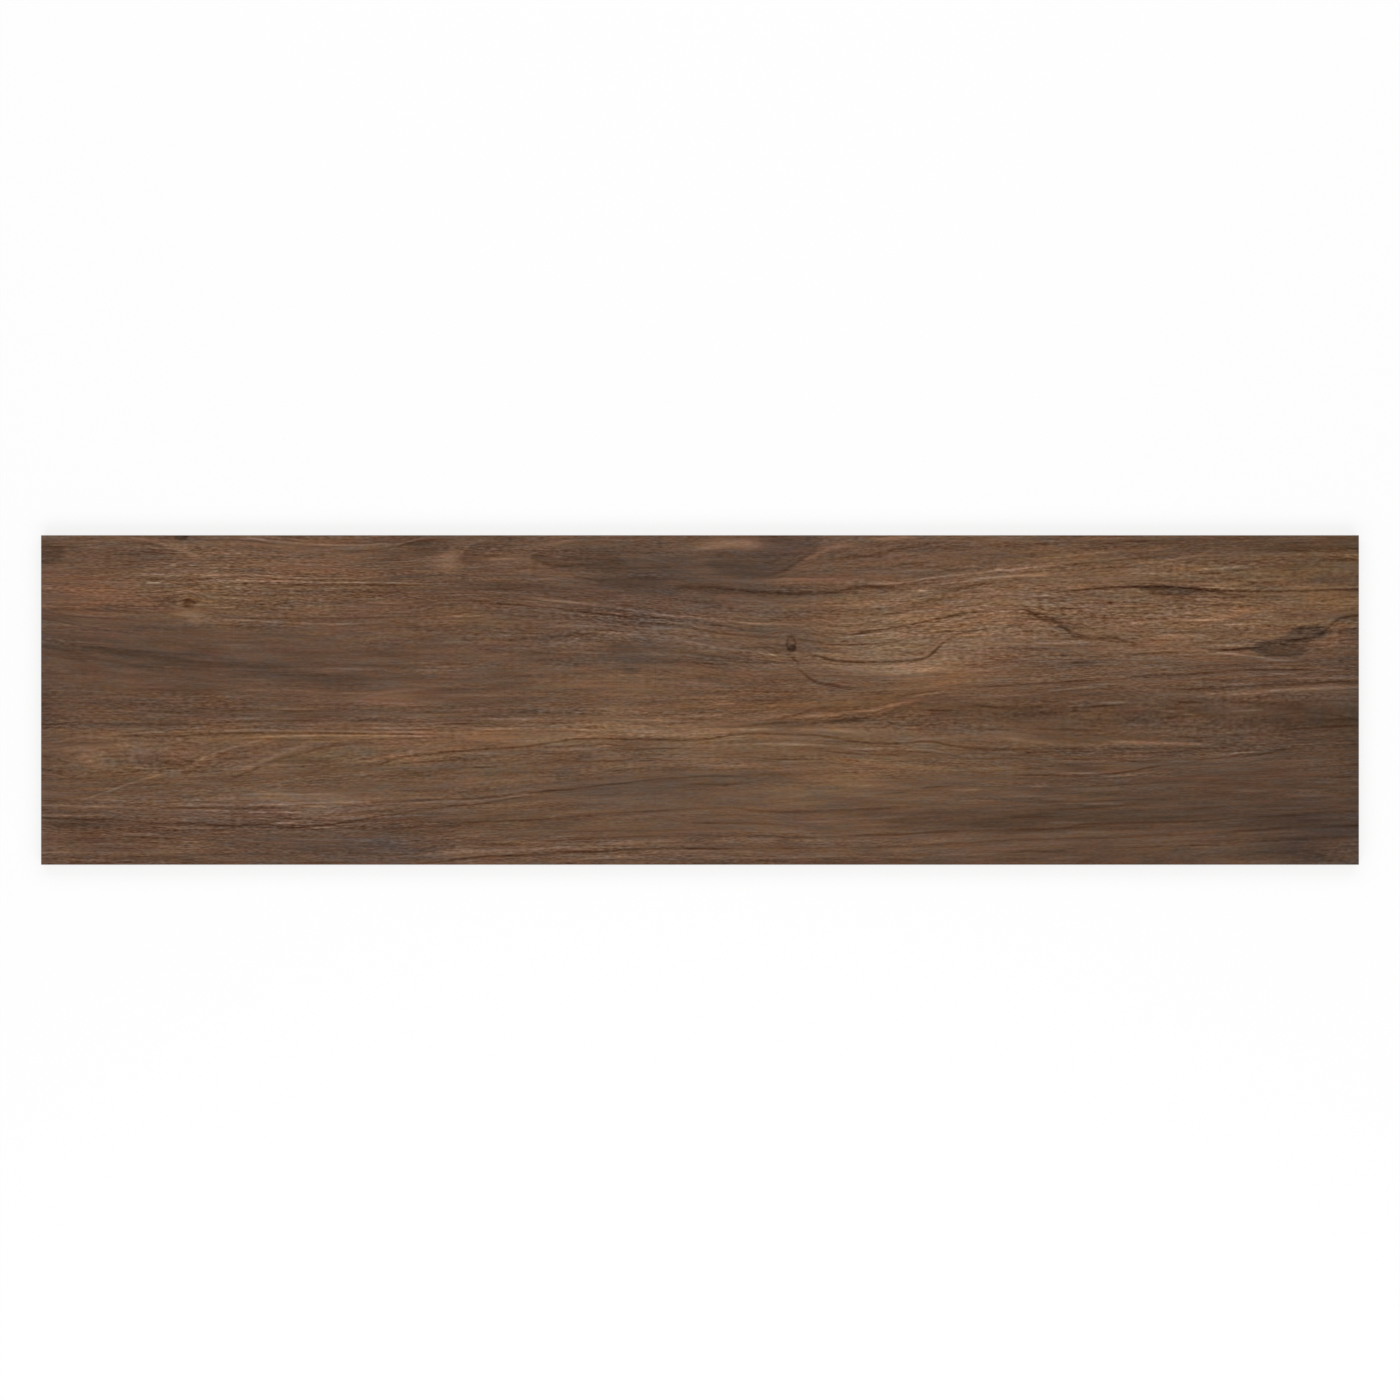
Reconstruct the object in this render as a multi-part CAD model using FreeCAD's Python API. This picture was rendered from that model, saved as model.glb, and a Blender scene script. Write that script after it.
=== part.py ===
import FreeCAD, Part
import math
import os

# Wood-look porcelain plank tile: one dust-pressed, fired and edge-ground piece.
# Millimetres, lying face up as it is laid: X along the plank, Y across it, Z up.
# The origin is the middle of the back, on the bedding plane of its keying ribs.

# Plank
LENGTH = 800.0
WIDTH = 200.0
THICKNESS = 9.0

# Edges, each bevel given by its leg
FACE_ARRIS = 0.5  # ground round the printed face
BACK_ARRIS = 1.0  # pressed round the back

# Keying relief pressed into the back: a waffle of shallow pockets between ribs
KEY_DEPTH = 0.7
KEY_DRAFT = 0.7  # how far a pocket's wall leans in over its depth
KEY_CORNER = 4.0  # leg cut off each corner of a pocket's mouth
KEY_RIB = 4.0  # rib left between two pockets
KEY_BAND = 9.0  # plain band between the back bevel and the outer pockets
KEY_PITCH = 30.0  # pitch aimed at; each field is shared into whole pockets


def edges_at(solid, height):
    """The solid's edges that lie in the level plane at that height."""
    tolerance = 1e-6
    level = []
    for edge in solid.Edges:
        if all(abs(vertex.Z - height) < tolerance for vertex in edge.Vertexes):
            level.append(edge)
    return level


def plank_blank():
    """The plain plank with its face and back arrises bevelled."""
    corner = FreeCAD.Vector(-LENGTH / 2, -WIDTH / 2, 0)
    blank = Part.makeBox(LENGTH, WIDTH, THICKNESS, corner)
    blank = blank.makeChamfer(FACE_ARRIS, edges_at(blank, THICKNESS))
    return blank.makeChamfer(BACK_ARRIS, edges_at(blank, 0))


def cut_corner_points(length, width, cut, height):
    """Corner points, in order, of a level rectangle with its corners cut off."""
    x, y = length / 2, width / 2
    corners = (
        (x, y - cut), (x - cut, y), (cut - x, y), (-x, y - cut),
        (-x, cut - y), (cut - x, -y), (x - cut, -y), (x, cut - y),
    )
    return [FreeCAD.Vector(along, across, height) for along, across in corners]


def flat_face(points):
    """The flat face inside a closed run of points."""
    return Part.Face(Part.makePolygon(points + points[:1]))


def key_pocket(length, width):
    """Tool for one pocket, its mouth on the bedding plane and all its walls leaning in alike."""
    narrowing = 2 * KEY_DRAFT
    cut_lost = (2 - math.sqrt(2)) * KEY_DRAFT  # so that the 45-degree walls lean as the others do
    mouth = cut_corner_points(length, width, KEY_CORNER, 0)
    floor = cut_corner_points(length - narrowing, width - narrowing, KEY_CORNER - cut_lost, KEY_DEPTH)
    faces = [flat_face(mouth), flat_face(floor)]
    for index in range(len(mouth)):
        faces.append(flat_face([mouth[index - 1], mouth[index], floor[index], floor[index - 1]]))
    return Part.makeSolid(Part.makeShell(faces))


def key_row(plank_size):
    """Pocket size and centre positions along one direction of the back."""
    field = plank_size - 2 * (BACK_ARRIS + KEY_BAND)
    count = max(1, round((field + KEY_RIB) / KEY_PITCH))
    pitch = (field + KEY_RIB) / count
    centres = [(index - (count - 1) / 2) * pitch for index in range(count)]
    return pitch - KEY_RIB, centres


def keying_relief():
    """All the pockets of the back, as tools to cut with."""
    pocket_length, centres_along = key_row(LENGTH)
    pocket_width, centres_across = key_row(WIDTH)
    pocket = key_pocket(pocket_length, pocket_width)
    tools = []
    for x in centres_along:
        for y in centres_across:
            tools.append(pocket.translated(FreeCAD.Vector(x, y, 0)))
    return tools


def plank_tile():
    """The whole tile: the bevelled plank with the keying relief in its back."""
    return plank_blank().cut(keying_relief()).Solids[0]


os.makedirs("parts", exist_ok=True)
tile = plank_tile()
print("plank_tile: valid", tile.isValid(), "faces", len(tile.Faces), "volume", round(tile.Volume, 1))
tile.exportStep("parts/plank_tile.step")
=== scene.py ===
"""Dresses the wood-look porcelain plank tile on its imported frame.

The plank is modelled again with the shallow relief of its grain. It gets a walnut print on its glazed face
and a bare fired body on its edges and back. It lies on a white studio floor under a camera that looks
straight down.
"""

import logging
import math
from collections.abc import Sequence
from dataclasses import dataclass, field
from enum import Enum

import bpy
import numpy as np
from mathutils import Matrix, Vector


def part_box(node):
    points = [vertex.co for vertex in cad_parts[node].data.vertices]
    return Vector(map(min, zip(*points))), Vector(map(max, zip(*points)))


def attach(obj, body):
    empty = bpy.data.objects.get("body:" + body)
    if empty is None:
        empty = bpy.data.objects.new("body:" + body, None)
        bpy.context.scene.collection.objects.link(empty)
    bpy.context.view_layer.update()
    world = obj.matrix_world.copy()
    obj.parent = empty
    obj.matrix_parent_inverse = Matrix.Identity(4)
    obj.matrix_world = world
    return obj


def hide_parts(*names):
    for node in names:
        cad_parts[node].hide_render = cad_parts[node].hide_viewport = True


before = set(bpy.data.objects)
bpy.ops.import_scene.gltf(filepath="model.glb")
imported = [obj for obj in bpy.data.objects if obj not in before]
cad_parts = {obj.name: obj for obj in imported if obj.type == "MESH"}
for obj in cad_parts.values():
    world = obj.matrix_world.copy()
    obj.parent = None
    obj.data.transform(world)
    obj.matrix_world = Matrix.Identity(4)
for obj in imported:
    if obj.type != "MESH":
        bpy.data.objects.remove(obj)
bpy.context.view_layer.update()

log = logging.getLogger("plank")

Point = tuple[float, float]
Colour = tuple[float, float, float]
Socket = bpy.types.NodeSocket
Value = Socket | float
Gains = tuple[tuple[str, float], ...]

MM = 0.001
# Millimetres, as are all places and sizes of the printed figure
PLANK_LENGTH = 800.0
PLANK_WIDTH = 200.0
# Farther than any two lines of the figure are apart
FAR = 1000.0
# Upright share of a normal from which a polygon belongs to the face or the back
FACE_TILT = 0.3
NODE = "plank_tile"
BODY = "root"
GRAIN_MAP = "grain"
BAKE_MAP = "OFBake"
PAINT = "print_paint"
GRIT = "print_grit"
SHAPES_LAYER = "print_shapes"
LINE_LAYERS = tuple("print_lines_" + letter for letter in "abcdef")


def linear(colour: Colour) -> tuple[float, float, float, float]:
    """Turns a display colour into the renderer's own.

    Args:
        colour: Red, green and blue from 0 to 255, as a screen shows them.

    Returns:
        The same colour as linear light, with full alpha.
    """
    shares = [channel / 255 for channel in colour]
    light = [share / 12.92 if share <= 0.04045 else ((share + 0.055) / 1.055) ** 2.4 for share in shares]
    return (light[0], light[1], light[2], 1.0)


def pair_up(numbers: tuple[float, ...]) -> tuple[Point, ...]:
    """Pairs up numbers in a row into points."""
    return tuple(zip(numbers[0::2], numbers[1::2]))


def smooth_step(value: np.ndarray) -> np.ndarray:
    """Eases values from 0 to 1, flat at both ends and beyond them."""
    share = np.clip(value, 0.0, 1.0)
    return share * share * (3.0 - 2.0 * share)


def smooth_through(points: tuple[Point, ...], at: np.ndarray) -> np.ndarray:
    """Follows a smooth curve through points that run from left to right.

    Args:
        points: Places along the plank, each with its height on the curve.
        at: Places along the plank to read the curve at.

    Returns:
        The curve's heights, held level beyond its ends.
    """
    along, height = np.array(points, dtype=float).T
    slope = np.gradient(height, along)
    span = np.clip(np.searchsorted(along, at) - 1, 0, len(along) - 2)
    reach = along[span + 1] - along[span]
    share = np.clip((at - along[span]) / reach, 0.0, 1.0)
    rest = 1.0 - share
    start = rest * rest * ((1.0 + 2.0 * share) * height[span] + share * reach * slope[span])
    end = share * share * ((3.0 - 2.0 * share) * height[span + 1] - rest * reach * slope[span + 1])
    return start + end


class Wander:
    """A smooth random line, the same on every run.

    Attributes:
        COUNT: How many heights it has before it repeats.
        SHIFT: How many heights it is moved on, so that it starts away from its seam.
    """

    COUNT = 1024
    SHIFT = 200.0

    def __init__(self, seed: int, pitch: float) -> None:
        """Draws the line's heights.

        Args:
            seed: Number that the heights are drawn from.
            pitch: Distance between two heights.
        """
        self.pitch = pitch
        self.heights = np.random.default_rng(seed).uniform(-1.0, 1.0, self.COUNT)

    def __call__(self, at: np.ndarray) -> np.ndarray:
        """Reads the line, from -1 to 1.

        Args:
            at: Places to read it at.

        Returns:
            Its heights there.
        """
        steps = at / self.pitch + self.SHIFT
        lower = np.floor(steps).astype(int) % (self.COUNT - 1)
        share = smooth_step(steps - np.floor(steps))
        return self.heights[lower] * (1.0 - share) + self.heights[lower + 1] * share


@dataclass(frozen=True)
class GrainLine:
    """A line of the printed figure, in millimetres from the plank's left end and far edge.

    Attributes:
        tone: Grey levels that the line adds in its middle.
        warmth: Share of the full warm shift that it adds there.
        half_width: Distance from its middle to where it has faded to a third.
        path: Points that it goes through, from left to right.
        taper: Longest stretch over which an end fades out.
        taper_share: Largest share of its length for that.
    """

    tone: float
    warmth: float
    half_width: float
    path: tuple[Point, ...]
    taper: float = 16.0
    taper_share: float = 0.36

    @property
    def length(self) -> float:
        """How far the line runs along the plank."""
        return self.path[-1][0] - self.path[0][0]

    def middle(self, along: np.ndarray) -> np.ndarray:
        """The line's distance from the far edge at places along the plank."""
        return smooth_through(self.path, along)

    def gap(self, other: "GrainLine") -> float:
        """Smallest distance across the plank to another line, where both run side by side.

        Args:
            other: The other line.

        Returns:
            The distance, or a large one where they never do.
        """
        step = 2.0
        along = np.arange(self.path[0][0], self.path[-1][0], step)
        along = along[(along >= other.path[0][0]) & (along <= other.path[-1][0])]
        return float(np.min(np.abs(self.middle(along) - other.middle(along)), initial=FAR))

    def presence(self, along: np.ndarray) -> np.ndarray:
        """How much of the line is there, fading out towards its ends.

        Args:
            along: Places along the plank.

        Returns:
            Shares from 0 to 1.
        """
        taper = min(self.taper, self.taper_share * self.length)
        grown = (along - self.path[0][0]) / taper
        left = (self.path[-1][0] - along) / taper
        return smooth_step(grown) * smooth_step(left)

    def offset(self, along: np.ndarray, down: np.ndarray) -> np.ndarray:
        """Distance square across the line, in half widths.

        Args:
            along: Places along the plank.
            down: Their distances from the far edge.

        Returns:
            Signed offsets, positive on the near side.
        """
        middle = self.middle(along)
        slope = self.middle(along + 0.5) - self.middle(along - 0.5)
        return (down - middle) / np.sqrt(1.0 + slope * slope) / self.half_width


def dash(
    tone: float,
    warmth: float,
    half_width: float,
    along: float,
    down: float,
    half_length: float,
    drop: float = 0.0,
) -> GrainLine:
    """Draws a short straight line.

    Args:
        tone: Grey levels that it adds in its middle.
        warmth: Share of the full warm shift that it adds there.
        half_width: Distance from its middle to where it has faded to a third.
        along: Its middle along the plank.
        down: Its middle's distance from the far edge.
        half_length: Half its length.
        drop: How far its right end lies nearer than its middle.

    Returns:
        The line.
    """
    ends = ((along - half_length, down - drop), (along + half_length, down + drop))
    return GrainLine(tone, warmth, half_width, (ends[0], (along, down), ends[1]))


@dataclass(frozen=True)
class GrainPatch:
    """A soft zone of the printed figure, in millimetres from the plank's left end and far edge.

    Attributes:
        along: Its middle along the plank.
        down: Its middle's distance from the far edge.
        half_length: Half its length along the grain.
        half_width: Half its width across the grain.
        tone: Grey levels that it adds in its middle.
        warmth: Share of the full warm shift that it adds there.
        gold: Share of the full shift towards gold that it adds.
        grit: How coarse the short dashes in it are.
        lean: How far it drops for each millimetre to the right.
    """

    along: float
    down: float
    half_length: float
    half_width: float
    tone: float
    warmth: float = 0.0
    gold: float = 0.0
    grit: float = 0.0
    lean: float = 0.0


@dataclass(frozen=True)
class GrainShape:
    """A zone of the figure with a clear edge, in millimetres from the plank's left end and far edge.

    Attributes:
        tone: Grey levels that it adds inside.
        warmth: Share of the full warm shift that it adds inside.
        feather: Half the width over which its edge fades.
        outline: Corner points round it.
    """

    tone: float
    warmth: float
    feather: float
    outline: tuple[Point, ...]

    def depth(self, along: np.ndarray, down: np.ndarray) -> np.ndarray:
        """Distance inside the outline, in feathers.

        Args:
            along: Places along the plank.
            down: Their distances from the far edge.

        Returns:
            Signed distances from the outline, positive inside.
        """
        nearest = np.full_like(along, np.inf)
        inside = np.zeros(len(along), dtype=bool)
        ends = self.outline[1:] + self.outline[:1]
        for (from_along, from_down), (to_along, to_down) in zip(self.outline, ends):
            run, drop = to_along - from_along, to_down - from_down
            off_along, off_down = along - from_along, down - from_down
            share = np.clip((off_along * run + off_down * drop) / (run * run + drop * drop), 0.0, 1.0)
            nearest = np.minimum(nearest, np.hypot(off_along - share * run, off_down - share * drop))
            crosses = (from_down > down) != (to_down > down)
            reach = off_along * drop - off_down * run
            inside ^= crosses & ((reach < 0.0) == (drop > 0.0))
        return np.where(inside, nearest, -nearest) / self.feather


@dataclass(frozen=True)
class GrainKnot:
    """A knot that the fibres part round, in millimetres from the plank's left end and far edge.

    Attributes:
        along: Its middle along the plank.
        down: Its middle's distance from the far edge.
        half_length: How far along the grain the fibres part.
        half_width: How far across the grain they feel it.
        swell: How far the nearest fibres are pushed aside.
        radii: Half the size of its heart along and across the grain.
        heart: Grey levels that its heart adds.
        rim: Grey levels that the ring round its heart adds.
    """

    along: float
    down: float
    half_length: float
    half_width: float
    swell: float
    radii: Point
    heart: float
    rim: float

    def slopes(self, columns: np.ndarray, rows: np.ndarray) -> np.ndarray:
        """Finds how steeply the fibres drop to the right round the knot.

        Args:
            columns: Places along the plank.
            rows: Distances from the far edge.

        Returns:
            The slopes, one row of them for each place along the plank.
        """
        off_along = (columns - self.along) / self.half_length
        off_across = (rows - self.down) / self.half_width
        side = off_across * np.exp(0.5 - 0.5 * off_across**2)
        change = -2.0 * off_along / self.half_length * np.exp(-(off_along**2))
        return self.swell * change[:, None] * side[None, :]


@dataclass
class WoodFigure:
    """The walnut figure of the print, as fields over the plank's face.

    Attributes:
        lines: Its drawn lines.
        patches: Its soft zones.
        knots: Its knots.
        shapes: Its zones with clear edges.
        guide_reach: How far across a line still bends the fibres beside it.
        guide_length: Shortest line that bends the fibres.
        loose_weight: How much the fibres keep to the straight.
        steepest: Steepest that the fibres follow a line.
        feather: How far the ends of a patch run out in streaks, as a share of its half length.
        waver: How far its sides waver, as a share of its half width.
        clear_share: How much nearer a line has to be than the next, as a share of both, to print in full.
        line_gain: How much stronger the lines' tone and warmth print than they are drawn.
        zone_gain: The same for the tone, warmth, gold and grit of the soft zones.
        trace_start: Where the tracing's far edge lies on the plank.
        trace_scale: How much smaller the figure is across than on its tracing.
        flow_step: Step along the plank at which the fibres' run is worked out.
        flow_row: Step across the plank for it.
    """

    lines: tuple[GrainLine, ...]
    patches: tuple[GrainPatch, ...]
    knots: tuple[GrainKnot, ...]
    shapes: tuple[GrainShape, ...]
    guide_reach: float = 12.0
    guide_length: float = 34.0
    loose_weight: float = 0.8
    steepest: float = 0.10
    feather: float = 0.35
    waver: float = 0.3
    clear_share: float = 0.35
    line_gain: tuple[float, float] = (1.4, 0.4)
    zone_gain: tuple[float, float, float, float] = (1.25, 1.0, 1.0, 1.0)
    trace_start: float = 0.4
    trace_scale: float = 0.994
    flow_step: float = 2.0
    flow_row: float = 0.5
    flow_rows: np.ndarray = field(init=False)
    flow_levels: np.ndarray = field(init=False)

    def __post_init__(self) -> None:
        """Works out how the fibres run, from the middle of the plank to both ends."""
        spare = 60.0
        columns = np.arange(0.0, PLANK_LENGTH + self.flow_step, self.flow_step)
        rows = np.arange(-spare, PLANK_WIDTH + spare, self.flow_row)
        slopes = self.fibre_slopes(columns, rows)
        start = len(columns) // 2
        levels = np.empty_like(slopes)
        levels[start] = rows
        for way, stop in ((1, len(columns)), (-1, -1)):
            for index in range(start + way, stop, way):
                came_from = rows - way * self.flow_step * slopes[index - way]
                levels[index] = np.interp(came_from, rows, levels[index - way])
        self.flow_rows = rows
        self.flow_levels = levels

    def traced(self, down: np.ndarray) -> np.ndarray:
        """Turns distances from the far edge into those on the tracing."""
        return (down - self.trace_start) / self.trace_scale

    def fibre_slopes(self, columns: np.ndarray, rows: np.ndarray) -> np.ndarray:
        """Finds how steeply the fibres drop to the right, led by the lines and knots near them.

        Args:
            columns: Places along the plank.
            rows: Distances from the far edge.

        Returns:
            The slopes, one row of them for each place along the plank.
        """
        reach = 3.0
        pull = np.zeros((len(columns), len(rows)))
        weight = np.full_like(pull, self.loose_weight)
        for line in self.lines:
            if line.length < self.guide_length:
                continue
            slope = (line.middle(columns + reach) - line.middle(columns - reach)) / (2 * reach)
            slope = self.steepest * np.tanh(slope / self.steepest)
            off = (rows[None, :] - line.middle(columns)[:, None]) / self.guide_reach
            nearness = np.exp(-(off**2)) * line.presence(columns)[:, None]
            pull += nearness * slope[:, None]
            weight += nearness
        slopes = pull / weight
        for knot in self.knots:
            slopes += knot.slopes(columns, rows)
        return slopes

    def fibre_level(self, along: np.ndarray, down: np.ndarray) -> np.ndarray:
        """Finds which fibre passes each place, by its distance from the far edge in the plank's middle.

        Args:
            along: Places along the plank.
            down: Their distances from the far edge.

        Returns:
            The fibres' levels.
        """
        levels = self.flow_levels
        last_column, last_row = np.array(levels.shape) - 1.001
        column = np.clip(along / self.flow_step, 0.0, last_column)
        row = np.clip((down - self.flow_rows[0]) / self.flow_row, 0.0, last_row)
        left = column.astype(int)
        upper = row.astype(int)
        right_share = column - left
        lower_share = row - upper
        upper_share = 1.0 - lower_share
        at_left = levels[left, upper] * upper_share + levels[left, upper + 1] * lower_share
        at_right = levels[left + 1, upper] * upper_share + levels[left + 1, upper + 1] * lower_share
        return at_left * (1.0 - right_share) + at_right * right_share

    def paint(self, along: np.ndarray, down: np.ndarray) -> np.ndarray:
        """Adds up the soft zones.

        Args:
            along: Places along the plank.
            down: Their distances from the far edge.

        Returns:
            Tone, warmth, gold and grit of each place.
        """
        level = self.fibre_level(along, down)
        streaks = 0.6 * Wander(11, 1.6)(level) + 0.6 * Wander(12, 5.0)(level)
        waves = 0.5 * Wander(13, 37.0)(along - 2.0 * down) + 0.5 * Wander(14, 71.0)(along + 3.0 * down)
        fields = np.zeros((len(along), 4))
        for patch in self.patches:
            off_along = (along - patch.along) / patch.half_length + self.feather * streaks
            drop = patch.lean * (along - patch.along)
            off_across = (down - patch.down - drop) / patch.half_width + self.waver * waves
            weight = np.exp(-(off_along**2) - off_across**2)
            fields += weight[:, None] * np.array((patch.tone, patch.warmth, patch.gold, patch.grit))
        return fields * np.array(self.zone_gain)

    def line_layers(self, along: np.ndarray, down: np.ndarray) -> list[np.ndarray]:
        """Shares the lines among layers, so that neighbours never meet within one.

        Args:
            along: Places along the plank.
            down: Their distances from the far edge.

        Returns:
            For each layer the offset from its nearest line, in half widths, and that line's tone and
            warmth.
        """
        sharing = [[] for _ in LINE_LAYERS]
        for line in sorted(self.lines, key=lambda line: -line.length):
            room = [min([line.gap(other) for other in layer], default=FAR) for layer in sharing]
            sharing[int(np.argmax(room))].append(line)
        return [self.nearest_line(layer, along, down) for layer in sharing]

    def shape_layer(self, along: np.ndarray, down: np.ndarray) -> np.ndarray:
        """Finds how far each place is inside the nearest zone with a clear edge.

        Args:
            along: Places along the plank.
            down: Their distances from the far edge.

        Returns:
            The depth inside that zone, in feathers, with its tone and warmth.
        """
        deepest = 6.0
        found = np.zeros((len(along), 3))
        found[:, 0] = -deepest
        for shape in self.shapes:
            depth = shape.depth(along, down)
            deeper = depth > found[:, 0]
            found[deeper, 0] = np.minimum(depth[deeper], deepest)
            found[deeper, 1] = shape.tone
            found[deeper, 2] = shape.warmth
        return found

    def nearest_line(self, lines: list[GrainLine], along: np.ndarray, down: np.ndarray) -> np.ndarray:
        """Finds the nearest of some lines at each place.

        Args:
            lines: The lines of one layer.
            along: Places along the plank.
            down: Their distances from the far edge.

        Returns:
            The offset from the nearest line, in half widths, with its tone and warmth, which fade out
            halfway to the next line.
        """
        cut_off = 12.0
        tiny = 1e-6
        nearest = np.full_like(down, FAR)
        second = np.full_like(down, FAR)
        found = np.zeros((len(down), 3))
        for line in lines:
            beside = np.flatnonzero((along > line.path[0][0]) & (along < line.path[-1][0]))
            distance = np.abs(down[beside] - line.middle(along[beside]))
            closer = distance < nearest[beside]
            second[beside] = np.where(closer, nearest[beside], np.minimum(second[beside], distance))
            nearest[beside] = np.minimum(nearest[beside], distance)
            own = beside[closer]
            presence = line.presence(along[own])
            found[own, 0] = np.clip(line.offset(along[own], down[own]), -cut_off, cut_off)
            found[own, 1] = line.tone * presence
            found[own, 2] = line.warmth * presence
        clear = smooth_step((second - nearest) / (second + nearest + tiny) / self.clear_share)
        found[:, 1:] *= np.array(self.line_gain) * clear[:, None]
        return found


# Zones of the figure with clear edges: tone, warmth, feather, then along and down of each corner
SHAPES = tuple(GrainShape(*zone[:3], pair_up(zone[3:])) for zone in (
    (-17, -0.4, 2, -9, 2, 6, 3.6, 12, 6, 14.6, 10, 12, 14, 6, 16.8, -9, 18),
    (-28, -0.8, 0.8, 80, -4, 81.4, 1.6, 85, 2.8, 88.6, 1.8, 90, -4),
    (-5, -0.1, 1.6, 38, 14, 46, 9, 58, 7, 70, 8, 78, 11, 81, 14, 76, 17.5, 66, 20, 54, 20.6, 44, 18.6),
    (-8, 0, 1, 277, -3, 264, 4, 257, 9, 253.5, 13, 255, 16.5, 262, 18, 270, 16, 276, 12, 284, 8, 290, -3),
    (-11, 0.1, 0.9, 296, 13, 302, 10, 312, 8.6, 322, 8.4, 333, 7.6, 342, 9, 352, 14, 356, 18, 350, 20,
     338, 20.4, 326, 20, 315, 19.2, 308, 18, 301, 15.8),
    (-10, -0.35, 2.4, 437, -3, 436, 6, 430, 11, 412, 11, 404, 16, 412, 24, 425, 26, 436, 25, 444, 23.5,
     452, 20.5, 458, 16.5, 463, 13, 468, 9.5, 472, 6.5, 473, 3, 472, -3),
    (-7, -0.7, 1.5, 345, 66, 352, 65, 358, 67, 364, 70, 372, 73, 384, 76, 388, 78, 378, 79, 366, 79, 362,
     83, 358, 88, 355, 84, 350, 79, 340, 77, 330, 78, 318, 79, 306, 79, 300, 77, 310, 74.5, 325, 74, 338,
     73, 344, 70),
    (-30, -0.4, 0.7, 453.4, 68, 455, 66.8, 457.4, 67, 458.4, 68.6, 457, 70.4, 454.6, 70.6, 453.2, 69.4),
    (-9, -0.2, 0.8, 474, 114.6, 480, 112, 490, 110.8, 500, 110.2, 506, 110.4, 492, 114.4, 484, 115.4),
    (-9, -0.4, 0.8, 510, 109.4, 516, 106.6, 524, 104.8, 530, 104.6, 526, 107.8, 520, 110, 514, 110.6),
    (-22, -0.3, 0.9, 664, 31.2, 672, 30.6, 684, 30.4, 696, 30.8, 702, 32.4, 708, 34, 702, 35.6, 694, 36.4,
     684, 36.4, 676, 35, 668, 33.6),
    (-19, -0.6, 1, 733, 69.4, 739, 65, 746, 63.4, 754.5, 61.2, 760, 57, 766, 54.6, 775, 55, 779.5, 54.8,
     781, 58, 779, 62, 771, 63.2, 769.6, 65.6, 766.4, 67, 768, 69.7, 765, 73, 749, 74, 742.6, 73, 736,
     70.8),
))

# Knots of the figure: along, down, half length, half width, swell, radii, heart, rim
KNOTS = (
    GrainKnot(90, 41.2, 9, 4, 1.6, (3.6, 2.9), -30, -8),
    GrainKnot(455.4, 66, 12, 6, 2.4, (2.6, 4.4), -4, -24),
)

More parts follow.
